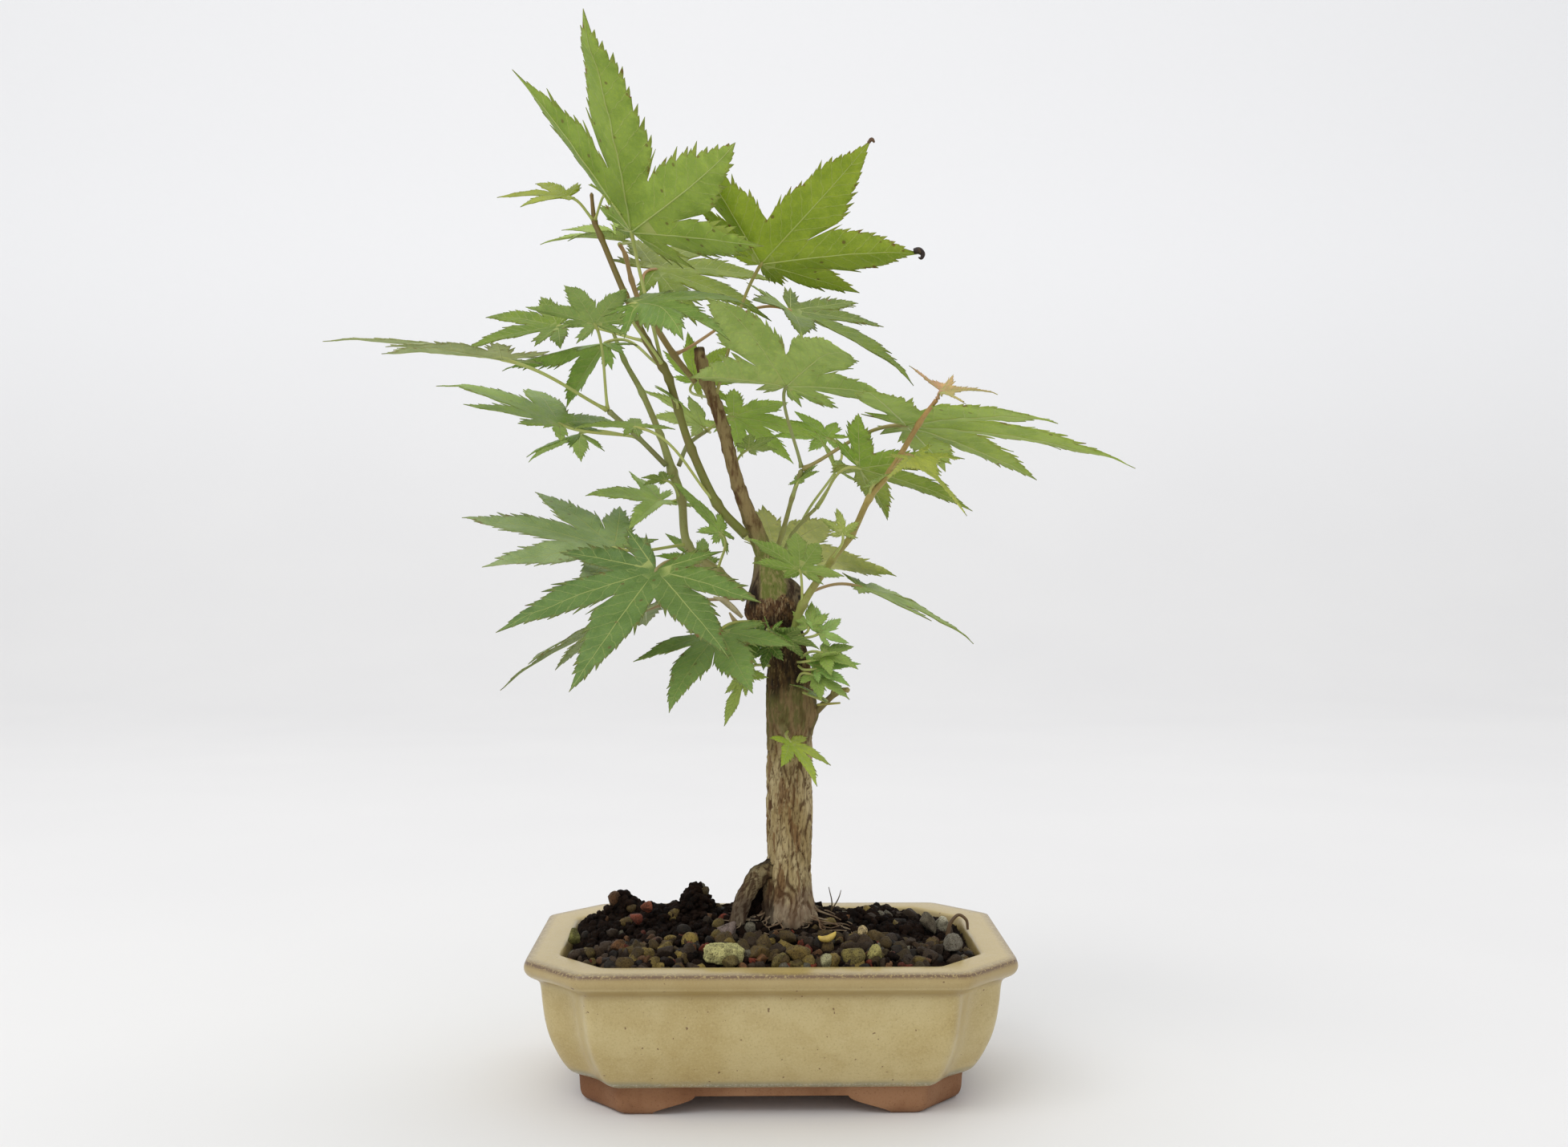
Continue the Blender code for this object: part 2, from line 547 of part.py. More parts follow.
def make_leaf(name, row, material, parts):
    """One leaf: a palmate blade and its petiole as one open sheet, given its thickness at the end."""
    branch, point, base, size, attitude, droop, cup, count = row
    axes = leaf_frame(*attitude)
    base = np.array(base, float)
    lobes = leaf_lobes(name, count, size, cup)
    points = []
    faces = []

    def blade(reach, angle, lift):
        points.append(base + axes @ np.array(blade_point(reach, angle, lift, size, droop)))
        return len(points) - 1

    half = PETIOLE_WIDTH / 2
    points.append(base - axes[:, 0] * half)
    points.append(base + axes[:, 0] * half)
    shoulder = math.radians(SHOULDER_HALF_ANGLE)
    free_notch = math.radians(FREE_NOTCH_ANGLE)
    middle = len(lobes) // 2
    first_angle, first_length, first_lift = lobes[0]
    notch = blade(NOTCH_REACH * first_length, first_angle - free_notch, first_lift)
    narrow = shoulder
    for index, (angle, length, lift) in enumerate(lobes):
        left = blade(SHOULDER_AT * length, angle - narrow, lift)
        vein = blade(SHOULDER_AT * length, angle, lift)
        tip = blade(length, angle, lift)
        if index + 1 < len(lobes):
            next_angle, next_length, next_lift = lobes[index + 1]
            narrow = min(shoulder, SHOULDER_SHARE * (next_angle - angle))
            reach = NOTCH_REACH * (length + next_length) / 2
            next_notch = blade(reach, (angle + next_angle) / 2, (lift + next_lift) / 2)
        else:
            narrow = shoulder
            next_notch = blade(NOTCH_REACH * length, angle + free_notch, lift)
        right = blade(SHOULDER_AT * length, angle + narrow, lift)
        left_apex = 0 if index <= middle else 1
        right_apex = 0 if index < middle else 1
        faces += [(left_apex, vein, notch), (notch, vein, left), (left, vein, tip)]
        faces += [(vein, right, tip), (vein, next_notch, right), (right_apex, next_notch, vein)]
        if index == middle:
            faces.append((0, 1, vein))
        notch = next_notch

    origin = np.array(frame_routes()[branch][point][:3], float)
    start = clear_start(origin, base, half, name)
    span = np.linalg.norm(base - start)
    out = start + (start - origin) / np.linalg.norm(start - origin) * span * 0.3
    arrive = base - axes[:, 1] * span * 0.35
    left, right = 0, 1
    for step in range(1, PETIOLE_STEPS + 1):
        centre = bezier(base, arrive, out, start, step / PETIOLE_STEPS)
        points.append(centre - axes[:, 0] * half)
        points.append(centre + axes[:, 0] * half)
        next_left, next_right = len(points) - 2, len(points) - 1
        faces += [(next_left, next_right, right), (next_left, right, left)]
        left, right = next_left, next_right

    leaf = add_mesh(name, mesh_from(name, points, faces), material, parts)
    stalk = leaf.vertex_groups.new(name="stalk")
    stalk.add(list(range(2)) + list(range(len(points) - 2 * PETIOLE_STEPS, len(points))), 1.0, "REPLACE")
    shell = leaf.modifiers.new("thickness", "SOLIDIFY")
    shell.thickness = PETIOLE_THICKNESS * MM
    shell.offset = 0.0
    shell.vertex_group = "stalk"
    shell.thickness_vertex_group = BLADE_THICKNESS / PETIOLE_THICKNESS
    return leaf


# ---- soil ----

def make_soil(material, parts):
    """The soil fills the pot and rises in a mound to the trunk."""
    levels = []
    for height, inset, notch in POT_INSIDE[::-1]:
        if height < SOIL_EDGE:
            levels.append(pot_section(max(height, POT_INSIDE[-1][0] + 2.6), inset + GAP, notch))
    rim = pot_section(SOIL_EDGE, POT_INSIDE[2][1] + GAP, 0.0)
    levels.append(rim)
    for share in (0.8, 0.6, 0.4, 0.2):
        ring = []
        for x, y, _ in rim:
            height = SOIL_EDGE + (SOIL_PEAK - SOIL_EDGE) * (1 - share) ** 0.8
            ring.append((MOUND[0] + (x - MOUND[0]) * share, MOUND[1] + (y - MOUND[1]) * share, height))
        levels.append(ring)
    return add_mesh("soil", loft("soil", levels), material, parts)


def make_stone(name, swell, material, parts):
    """The large stone; swell makes it a little larger all around, for the hollow that it lies in."""
    centre, half = STONE
    mesh = bpy.data.meshes.new(name)
    stone = bmesh.new()
    bmesh.ops.create_icosphere(stone, subdivisions=2, radius=1.0)
    rough = np.random.default_rng(7)
    for vertex in stone.verts:
        unevenness = rough.uniform(*STONE_UNEVENNESS)
        vertex.co = Vector([vertex.co[axis] * (half[axis] * unevenness + swell) * MM for axis in range(3)])
    bmesh.ops.translate(stone, vec=Vector(centre) * MM, verts=stone.verts)
    stone.to_mesh(mesh)
    stone.free()
    return add_mesh(name, mesh, material, parts)


def centre_on_floor(pieces):
    """Slide every piece so that the bounding box stands centred over the origin."""
    bpy.context.view_layer.update()
    shapes = bpy.context.evaluated_depsgraph_get()
    corners = [piece.matrix_world @ Vector(corner) for piece in pieces for corner in
               piece.evaluated_get(shapes).bound_box]
    low = [min(corner[axis] for corner in corners) for axis in range(3)]
    high = [max(corner[axis] for corner in corners) for axis in range(3)]
    shift = Matrix.Translation((-(low[0] + high[0]) / 2, -(low[1] + high[1]) / 2, -low[2]))
    for piece in bpy.data.objects:
        piece.matrix_world = shift @ piece.matrix_world


def build():
    clear_scene()
    parts = new_collection("maple_bonsai")
    cutters = new_collection("cutters")
    materials = make_materials()
    make_pot(materials["glazed_stoneware"], parts, cutters)
    for side, word in ((-1, "left"), (1, "right")):
        make_mesh_square(f"drainage_mesh_{word}", side, materials["plastic_mesh"], parts)
        make_staple(f"mesh_wire_{word}", side, materials["aluminium_wire"], parts)
    soil = make_soil(materials["gravel_soil"], parts)
    make_stone("pale_stone", 0.0, materials["pumice"], parts)
    trunk = make_trunk("trunk", 0.0, materials["bark"], parts)
    for limb in trunk[1:]:
        parts.objects.unlink(limb)
        cutters.objects.link(limb)
    cut(trunk[0], trunk[1:], "UNION")
    hollow = make_stone("stone_bed", 1.5 * GAP, None, cutters)
    cut(soil, make_trunk("root_space", GAP, None, cutters) + [hollow])
    for name, route in SHOOTS.items():
        make_shoot(name, route, materials["young_bark"], parts)
    for name, row in LEAVES.items():
        young = "young" in name or "tip" in name or name.startswith("trunk")
        make_leaf(name, row, materials["young_leaf" if young else "leaf"], parts)
    centre_on_floor(list(parts.objects))


build()
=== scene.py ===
import math

import bmesh
import bpy
import numpy as np
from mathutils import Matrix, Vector, geometry, noise


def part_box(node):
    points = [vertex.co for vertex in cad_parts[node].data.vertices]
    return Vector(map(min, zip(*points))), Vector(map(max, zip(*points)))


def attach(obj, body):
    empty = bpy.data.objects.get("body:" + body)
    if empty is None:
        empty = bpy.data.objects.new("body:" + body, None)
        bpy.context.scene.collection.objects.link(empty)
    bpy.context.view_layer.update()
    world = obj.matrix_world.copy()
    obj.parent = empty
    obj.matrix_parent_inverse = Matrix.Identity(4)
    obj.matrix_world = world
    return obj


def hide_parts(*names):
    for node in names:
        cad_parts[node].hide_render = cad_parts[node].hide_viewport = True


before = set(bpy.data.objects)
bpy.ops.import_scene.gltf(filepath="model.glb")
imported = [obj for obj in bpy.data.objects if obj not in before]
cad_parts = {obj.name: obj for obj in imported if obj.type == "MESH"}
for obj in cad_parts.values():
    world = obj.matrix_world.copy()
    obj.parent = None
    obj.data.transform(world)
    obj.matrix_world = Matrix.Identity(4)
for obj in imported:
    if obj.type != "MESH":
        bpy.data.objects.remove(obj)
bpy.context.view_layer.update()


# ---- pot ----
# A press-moulded stoneware bonsai pot: a rectangle with pushed-in corners, a wide flat rim and four
# bracket feet. It is dipped in a straw-yellow glaze that thins to brown on the rim's edge and pools in
# a greyish line above the feet, which stay bare clay.

MM = 0.001
POT_LOW, POT_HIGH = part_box("pot")
# The height of the surface that the pot stands on. All heights count from 2.5 mm above it.
FLOOR = -2.5
POT_CENTRE = np.array([(POT_LOW.x + POT_HIGH.x) / 2, (POT_LOW.y + POT_HIGH.y) / 2, POT_LOW.z - FLOOR * MM])
POT_LENGTH = (POT_HIGH.x - POT_LOW.x) / MM
POT_DEPTH = (POT_HIGH.y - POT_LOW.y) / MM
CORNER_ALONG = 17.0
CORNER_ACROSS = 20.0
# The pot's levels: height, how far the wall stands in from the rim, and how deep the corner is pushed in.
POT_OUTSIDE = (
    (FLOOR, 18.4, 0.0), (FLOOR + 1.3, 16.8, 0.3), (FLOOR + 3.4, 16.0, 0.8), (FLOOR + 8.4, 15.6, 1.0),
    (6.4, 14.6, 1.2), (7.6, 12.9, 1.6), (9.4, 11.6, 2.0), (11.8, 10.2, 2.6), (15.3, 8.6, 3.0),
    (19.0, 7.2, 3.2), (24.0, 6.0, 3.2), (30.0, 5.2, 3.0), (35.0, 4.7, 2.4), (36.8, 3.8, 1.6),
    (38.2, 1.6, 0.6), (39.6, 0.4, 0.1), (41.2, 0.0, 0.0), (42.7, 0.4, 0.0), (43.5, 1.6, 0.0),
)
POT_INSIDE = (
    (43.6, 9.4, 0.0), (43.0, 10.6, 0.0), (40.0, 11.4, 0.0), (28.0, 12.2, 0.6), (16.5, 15.5, 0.8),
    (10.5, 20.0, 0.4), (9.5, 23.0, 0.0),
)
FOOT_HEIGHT = 6.0
FOOT_WIDTH = 15.0
FRONT_ARCH = (46.0, 72.0)
SIDE_ARCH = (20.0, 36.0)
HOLE_PLACE = 32.0
HOLE_DIAMETER = 15.0
HOLE_SIDES = 36
DRILL_TOP = 18.0
BARE_BELOW = 6.9
# The rim's outer edge, where the glaze wears: its height, and how far in from the side it reaches.
RIM_EDGE = 42.9
WORN_REACH = 3.0
# Cutting tools run past what they cut by this much, and edges sharper than this angle stay crisp.
PAST = 2.0
CRISP_ANGLE = math.radians(42)


def in_place(points):
    """Points in mm from the pot's centre line as metres in the model's frame."""
    return np.asarray(points, float) * MM + POT_CENTRE


def mesh_from(name, points, faces, values=None, tones=None):
    """A smooth mesh from points in mm. Its points carry the values by name, and the tones as their colour."""
    mesh = bpy.data.meshes.new(name)
    mesh.from_pydata(in_place(points).tolist(), [], [tuple(face) for face in faces])
    for key, numbers in (values or {}).items():
        numbers = np.array(np.broadcast_to(numbers, len(points)), np.float32)
        mesh.attributes.new(key, "FLOAT", "POINT").data.foreach_set("value", numbers)
    if tones is not None:
        rows = np.ones((len(points), 4), np.float32)
        rows[:, :3] = tones
        mesh.attributes.new("tone", "FLOAT_COLOR", "POINT").data.foreach_set("color", rows.ravel())
    mesh.shade_smooth()
    return mesh


def add_piece(name, mesh, materials, slot, *nodes):
    """A shown piece of the model, which stands for the named plain solids."""
    piece = bpy.data.objects.new(name, mesh)
    bpy.context.scene.collection.objects.link(piece)
    for material in materials:
        piece.data.materials.append(material)
    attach(piece, "root")
    if nodes:
        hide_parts(*nodes)
    return piece


def shade(red, green, blue):
    """A colour named by its 0 to 255 screen values, as the linear values that shaders use."""
    def linear(value):
        value /= 255
        return value / 12.92 if value <= 0.04045 else ((value + 0.055) / 1.055) ** 2.4
    return (linear(red), linear(green), linear(blue), 1.0)


def tone_of(colour):
    """A colour's linear red, green and blue, to be stored at points."""
    return np.array(shade(*colour)[:3])


def plug(socket, value):
    """Links a node's output to an input, or gives the input a plain value."""
    if isinstance(value, bpy.types.NodeSocket):
        socket.id_data.links.new(value, socket)
    else:
        socket.default_value = value


def start_node(tree, kind, **settings):
    made = tree.nodes.new("ShaderNode" + kind)
    for key, value in settings.items():
        setattr(made, key, value)
    return made


def add_node(kind, inputs, **settings):
    """A shader node with its inputs filled by name or number, in the tree that they come from."""
    tree = next(value.id_data for value in inputs.values() if isinstance(value, bpy.types.NodeSocket))
    made = start_node(tree, kind, **settings)
    for key, value in inputs.items():
        plug(made.inputs[key], value)
    return made


def place_in_mm(tree):
    """Where the surface is, in mm."""
    where = start_node(tree, "TexCoord").outputs["Object"]
    where = add_node("VectorMath", {0: where, 3: 1 / MM}, operation="SCALE").outputs[0]
    return add_node("VectorMath", {0: where, 1: (0.0, 0.0, FLOOR)}, operation="ADD").outputs[0]


def stored(tree, name, output="Fac"):
    """Numbers or colours that are stored at the mesh's points."""
    return start_node(tree, "Attribute", attribute_name=name).outputs[output]


def stretch(vector, amounts):
    return add_node("VectorMath", {0: vector, 1: amounts}, operation="MULTIPLY").outputs[0]


def part_of(vector, axis):
    return add_node("SeparateXYZ", {0: vector}).outputs[axis]


def clouds(vector, scale, detail=3.0, roughness=0.55):
    """Soft random patches; scale is their number in 1 mm."""
    inputs = {"Vector": vector, "Scale": scale, "Detail": detail, "Roughness": roughness}
    return add_node("TexNoise", inputs).outputs["Fac"]


def ramp(value, low, high, start=0.0, end=1.0):
    """A smooth step from start to end as the value goes from low to high."""
    inputs = {"Value": value, "From Min": low, "From Max": high, "To Min": start, "To Max": end}
    return add_node("MapRange", inputs, interpolation_type="SMOOTHSTEP").outputs[0]


def reckon(operation, *values):
    return add_node("Math", dict(enumerate(values)), operation=operation).outputs[0]


def plus(first, second):
    return reckon("ADD", first, second)


def times(first, second):
    return reckon("MULTIPLY", first, second)


def blend(mask, first, second, way="MIX"):
    """The first colour where the mask is 0 and the second where it is 1."""
    return add_node("Mix", {0: mask, 6: first, 7: second}, data_type="RGBA", blend_type=way).outputs[2]


def tinted(colour, factors):
    """A colour with its red, green and blue multiplied."""
    return blend(1.0, colour, (*factors, 1.0), "MULTIPLY")


def lay_over(colour, *coats):
    """A colour under coats of (mask, colour), the last one on top."""
    for mask, coat in coats:
        colour = blend(mask, colour, coat)
    return colour


def new_group(name, inputs, outputs):
    """A shader node group from the kinds of its inputs and outputs by name."""
    group = bpy.data.node_groups.new(name, "ShaderNodeTree")
    for way, sockets in (("INPUT", inputs), ("OUTPUT", outputs)):
        for label, kind in sockets.items():
            group.interface.new_socket(label, in_out=way, socket_type=f"NodeSocket{kind}")
    return group, group.nodes.new("NodeGroupInput").outputs, group.nodes.new("NodeGroupOutput").inputs


def use_group(group, **inputs):
    """The outputs of a node group, its inputs filled by name."""
    made = start_node(inputs["Place"].id_data, "Group", node_tree=group)
    for key, value in inputs.items():
        plug(made.inputs[key], value)
    return made.outputs


def make_mottle():
    """Uneven colour and relief at three sizes: broad patches, finer grain, and rare dark specks. Its inputs
    are the place and how many patches and grains there are in 1 mm."""
    group, given, result = new_group(
        "mottle",
        {"Place": "Vector", "Patches": "Float", "Grain": "Float"},
        {"Patches": "Float", "Grain": "Float", "Specks": "Float"})
    patches = clouds(given["Place"], given["Patches"], 4.0, 0.6)
    grain = clouds(given["Place"], given["Grain"], 4.0, 0.6)
    fine = clouds(given["Place"], times(given["Grain"], 1.7), 1.0, 0.4)
    plug(result["Patches"], ramp(patches, 0.35, 0.65))
    plug(result["Grain"], grain)
    plug(result["Specks"], ramp(fine, 0.73, 0.80))
    return group


def new_material(name, roughness, coat=0.0, specular=0.5):
    material = bpy.data.materials.new(name)
    material.use_nodes = True
    shader = material.node_tree.nodes["Principled BSDF"]
    shader.inputs["Roughness"].default_value = roughness
    shader.inputs["Coat Weight"].default_value = coat
    shader.inputs["Specular IOR Level"].default_value = specular
    return material, material.node_tree, shader.inputs


def add_relief(shader, height, strength, distance):
    """Fine relief by bump; distance is its depth in mm."""
    bump = add_node("Bump", {"Height": height, "Strength": strength, "Distance": distance * MM})
    plug(shader["Normal"], bump.outputs[0])


MOTTLE = make_mottle()


def make_glaze():
    material, tree, shader = new_material("straw_glaze", 0.3)
    place = place_in_mm(tree)
    high = part_of(place, "Z")
    spots = use_group(MOTTLE, Place=place, Patches=0.03, Grain=1.6)
    cloudy = clouds(stretch(place, (1.0, 1.0, 1.5)), 0.10, 3.0)
    # Painted shadow in a band under the rim's lip.
    under_lip_shadow = times(ramp(high, 34.5, 37.0), ramp(high, 39.2, 38.2))
    # The lip's face is browner: partly its glaze's own colour, partly painted shade.
    lip = times(ramp(high, 38.6, 39.6), ramp(high, 43.3, 42.8))
    freckles = clouds(place, 0.62, 1.0, 0.4)
    colour = lay_over(
        blend(spots["Patches"], shade(178, 156, 98), shade(194, 176, 124)),
        (ramp(cloudy, 0.45, 0.72, 0.0, 0.35), shade(170, 146, 88)),
        (ramp(spots["Grain"], 0.52, 0.66, 0.0, 0.3), shade(204, 188, 142)),
        (ramp(spots["Grain"], 0.46, 0.34, 0.0, 0.3), shade(150, 128, 78)),
        (times(under_lip_shadow, 0.6), shade(138, 112, 62)),
        (times(lip, 0.6), shade(158, 134, 84)),
        (times(ramp(high, 43.2, 43.5), 0.65), shade(190, 164, 92)),
        (times(stored(tree, "worn"), ramp(spots["Grain"], 0.34, 0.50)), shade(104, 78, 56)),
        (times(ramp(high, 9.8, 7.6), ramp(cloudy, 0.30, 0.52, 0.4, 0.95)), shade(146, 140, 110)),
        (times(ramp(high, 8.4, 7.6), ramp(spots["Grain"], 0.5, 0.6, 0.0, 0.8)), shade(196, 190, 166)),
        (ramp(freckles, 0.755, 0.79, 0.0, 0.8), shade(104, 70, 38)),
        (times(spots["Specks"], 0.75), shade(112, 82, 48)))
    edge = plus(high, times(cloudy, 1.2))
    bare = ramp(edge, BARE_BELOW + 0.3, BARE_BELOW)
    clay = lay_over(
        blend(spots["Patches"], shade(122, 80, 48), shade(156, 114, 80)),
        (ramp(spots["Grain"], 0.55, 0.75, 0.0, 0.6), shade(84, 54, 36)))
    plug(shader["Base Color"], blend(bare, colour, clay))
    rough = plus(ramp(spots["Grain"], 0.3, 0.7, 0.30, 0.42), times(bare, 0.45))
    plug(shader["Roughness"], rough)
    plug(shader["Coat Weight"], ramp(edge, BARE_BELOW, BARE_BELOW + 0.3, 0.0, 0.25))
    shader["Coat Roughness"].default_value = 0.18
    relief = plus(times(cloudy, 1.2), times(spots["Grain"], plus(0.12, bare)))
    add_relief(shader, relief, 0.35, 0.35)
    return material


def glide(rows, steps):
    """More rows between these, on a smooth curve that passes through each of them."""
    rows = np.asarray(rows, float)
    padded = np.vstack([2 * rows[0] - rows[1], rows, 2 * rows[-1] - rows[-2]])
    result = []
    for index in range(1, len(padded) - 2):
        before, start, end, after = padded[index - 1:index + 3]
        for step in range(steps):
            t = step / steps
            square = 2 * before - 5 * start + 4 * end - after
            cube = 3 * start - before - 3 * end + after
            result.append(0.5 * (2 * start + (end - before) * t + square * t ** 2 + cube * t ** 3))
    result.append(rows[-1])
    return np.array(result)


def pot_section(height, inset, notch, corner_steps=24, side_reach=8):
    """One level of the pot, its corner ridges rounded; inset and notch as in the lists above."""
    half_x = POT_LENGTH / 2 - inset
    half_y = POT_DEPTH / 2 - inset
    along = CORNER_ALONG - 0.25 * inset
    across = CORNER_ACROSS - 0.25 * inset
    corner = [(half_x, half_y - across - reach) for reach in range(side_reach, 0, -1)]
    for step in range(corner_steps + 1):
        share = step / corner_steps
        push = notch * math.sin(math.pi * share) ** 2
        corner.append((half_x - along * share - push * 0.75, half_y - across * (1 - share) - push * 0.66))
    corner += [(half_x - along - reach, half_y) for reach in range(1, side_reach + 1)]
    corner = np.array(corner)
    for _ in range(5 if inset < 3 else 3):
        corner[1:-1] = (corner[:-2] + 2 * corner[1:-1] + corner[2:]) / 4
    points = []
    for sign_x, sign_y in ((1, 1), (-1, 1), (-1, -1), (1, -1)):
        ordered = corner if sign_x * sign_y > 0 else corner[::-1]
        points += [(sign_x * x, sign_y * y, height) for x, y in ordered]
    return points


def loft(sections):
    """Points and faces of a closed body through sections of equal count."""
    count = len(sections[0])
    faces = []
    for low in range(0, (len(sections) - 1) * count, count):
        for i in range(count):
            j = (i + 1) % count
            faces.append((low + i, low + j, low + count + j, low + count + i))
    last = (len(sections) - 1) * count
    faces.append(tuple(range(count - 1, -1, -1)))
    faces.append(tuple(range(last, last + count)))
    return np.array(sections, float).reshape(-1, 3), faces


def bracket_outline(widths):
    """The gap between two feet: a smooth curve up from the floor, over and down again."""
    top, bottom = widths[0] / 2, widths[1] / 2
    right = [(bottom, FLOOR - PAST)]
    for step in range(9):
        share = step / 8
        rise = (1 - math.cos(math.pi * share)) / 2
        right.append((bottom + (top - bottom) * rise, FLOOR + FOOT_HEIGHT * share))
    return right + [(-u, v) for u, v in right[::-1]]


def cutter(name, sections):
    points, faces = loft(sections)
    tool = bpy.data.objects.new(name, mesh_from(name, points, faces))
    bpy.context.scene.collection.objects.link(tool)
    return tool


def drill(x):
    """A round tool through the pot's floor."""
    ring = []
    for step in range(HOLE_SIDES):
        turn = step * 2 * math.pi / HOLE_SIDES
        ring.append((x + HOLE_DIAMETER / 2 * math.cos(turn), HOLE_DIAMETER / 2 * math.sin(turn)))
    return [[(u, v, level) for u, v in ring] for level in (-PAST, DRILL_TOP)]


def carve(piece, tools):
    """Cuts the tools out of the piece and removes them."""
    for tool in tools:
        boolean = piece.modifiers.new("cut", "BOOLEAN")
        boolean.operation = "DIFFERENCE"
        boolean.object = tool
    bpy.context.view_layer.update()
    shown = piece.evaluated_get(bpy.context.evaluated_depsgraph_get())
    mesh = bpy.data.meshes.new_from_object(shown)
    piece.modifiers.clear()
    piece.data = mesh
    for tool in tools:
        bpy.data.objects.remove(tool, do_unlink=True)


def make_pot():
    levels = [pot_section(*row) for row in glide(POT_OUTSIDE + POT_INSIDE[:1], 3)]
    levels += [pot_section(*row) for row in glide(POT_INSIDE, 2)[1:]]
    points, faces = loft(levels)
    mesh = mesh_from("glazed_pot", points, faces)
    pot = add_piece("glazed_pot", mesh, [make_glaze()], "glazed_stoneware", "pot")
    front = bracket_outline(FRONT_ARCH)
    side = bracket_outline(SIDE_ARCH)
    inner_x = POT_LENGTH / 2 - POT_OUTSIDE[2][1] - FOOT_WIDTH
    inner_y = POT_DEPTH / 2 - POT_OUTSIDE[2][1] - FOOT_WIDTH
    floor = [(-inner_x, -inner_y), (inner_x, -inner_y), (inner_x, inner_y), (-inner_x, inner_y)]
    carve(pot, [
        cutter("front_gap", [[(u, y, v) for u, v in front] for y in (POT_DEPTH, -POT_DEPTH)]),
        cutter("side_gap", [[(x, u, v) for u, v in side] for x in (-POT_LENGTH, POT_LENGTH)]),
        cutter("foot_inside", [[(x, y, z) for x, y in floor] for z in (FLOOR - PAST, FLOOR + FOOT_HEIGHT)]),
        cutter("left_hole", drill(-HOLE_PLACE)),
        cutter("right_hole", drill(HOLE_PLACE)),
    ])
    mesh = pot.data
    places = (np.array([vertex.co for vertex in mesh.vertices]) - POT_CENTRE) / MM
    from_end = POT_LENGTH / 2 - abs(places[:, 0])
    from_side = POT_DEPTH / 2 - abs(places[:, 1])
    slant = from_end * CORNER_ACROSS + from_side * CORNER_ALONG - CORNER_ALONG * CORNER_ACROSS
    from_corner = slant / math.hypot(CORNER_ALONG, CORNER_ACROSS)
    at_edge = np.minimum(np.minimum(from_end, from_side), from_corner) < WORN_REACH
    worn = np.exp(-((places[:, 2] - RIM_EDGE) / 0.7) ** 2) * at_edge
    mesh.attributes.new("worn", "FLOAT", "POINT").data.foreach_set("value", worn.astype(np.float32))
    mesh.shade_smooth()
    mesh.set_sharp_from_angle(angle=CRISP_ANGLE)


make_pot()


# ---- drainage ----
# Each hole in the pot's floor is covered by a square of black plastic mesh, held down by a bent length
# of brown aluminium training wire whose legs pass through the hole and turn out under the pot.

def make_mesh_plastic():
    material, tree, shader = new_material("mesh_plastic", 0.55)
    spots = use_group(MOTTLE, Place=place_in_mm(tree), Patches=0.4, Grain=3.0)
    plug(shader["Base Color"], blend(spots["Patches"], shade(26, 27, 28), shade(52, 50, 46)))
    plug(shader["Roughness"], ramp(spots["Grain"], 0.3, 0.7, 0.45, 0.7))
    add_relief(shader, spots["Grain"], 0.3, 0.1)
    return material


def make_wire_metal():
    material, tree, shader = new_material("anodised_wire", 0.4)
    spots = use_group(MOTTLE, Place=place_in_mm(tree), Patches=0.8, Grain=6.0)
    shader["Metallic"].default_value = 0.85
    plug(shader["Base Color"], blend(spots["Patches"], shade(118, 78, 54), shade(146, 104, 78)))
    plug(shader["Roughness"], ramp(spots["Grain"], 0.3, 0.7, 0.3, 0.5))
    add_relief(shader, spots["Grain"], 0.3, 0.05)
    return material


def dress(node, material):
    """Gives a plain solid that is shown as it is its own finish."""
    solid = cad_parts[node]
    solid.data.materials.clear()
    solid.data.materials.append(material)


MESH_PLASTIC = make_mesh_plastic()
WIRE_METAL = make_wire_metal()
for side in ("left", "right"):
    dress(f"drainage_mesh_{side}", MESH_PLASTIC)
    dress(f"mesh_wire_{side}", WIRE_METAL)
    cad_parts[f"mesh_wire_{side}"].data.shade_smooth()


# ---- soil ----
# A free-draining mix, mounded to the trunk: dark humus crumbs and clods, with yellowish pumice, red and
# black lava, and grey grit of 2 to 6 mm. It is loose, and lies as it was poured and watered.

SOIL_EDGE = 40.6
SOIL_PEAK = 50.0
MOUND = np.array([4.0, 2.0])
RIM_INSET = 11.9
# Clods of humus that stand above the mound: x, y, height and radius in mm.
CLODS = (
    (-50, 22, 6.5, 4.5), (-43, 24, 5.0, 8), (-24, 14, 7.5, 4.5), (-27, 16, 3.0, 9), (-60, 16, 4.5, 7),
    (-36, 8, 3.0, 8), (-52, 2, 3.0, 8), (18, 4, 1.5, 6), (32, 8, 2.5, 8), (46, -4, 3.0, 6), (38, 22, 2.5, 8),
    (54, 12, 2.5, 6), (-8, 22, 3.0, 7), (10, 26, 2.5, 8),
)
SOIL_UNDERSIDE = 32.0
# What the shares of the pot's half length and half depth add up to along its slanting inner corners.
CORNER_SUM = 1.66
# Where the trunk stands, and the radius around it that stones and crumbs keep out of.
TRUNK_X = 6.0
TRUNK_CLEAR = 8.5
# The hollow that the large pale stone lies in, and its radius.
STONE_HOLLOW = (-18.5, -34.0)
STONE_CLEAR = 6.5
# In front of this line the gravel is of the front's kinds and has a finer mesh.
FRONT_LINE = -20.0


def rim_share(x, y):
    """0 on the mound's top and 1 at the pot's inner wall."""
    half_x = POT_LENGTH / 2 - RIM_INSET
    half_y = POT_DEPTH / 2 - RIM_INSET
    across = abs(x - MOUND[0]) / (half_x - np.sign(x - MOUND[0]) * MOUND[0])
    along = abs(y - MOUND[1]) / (half_y - np.sign(y - MOUND[1]) * MOUND[1])
    corner = (abs(x) / half_x + abs(y) / half_y) / CORNER_SUM
    return np.maximum(np.maximum(across, along), corner)


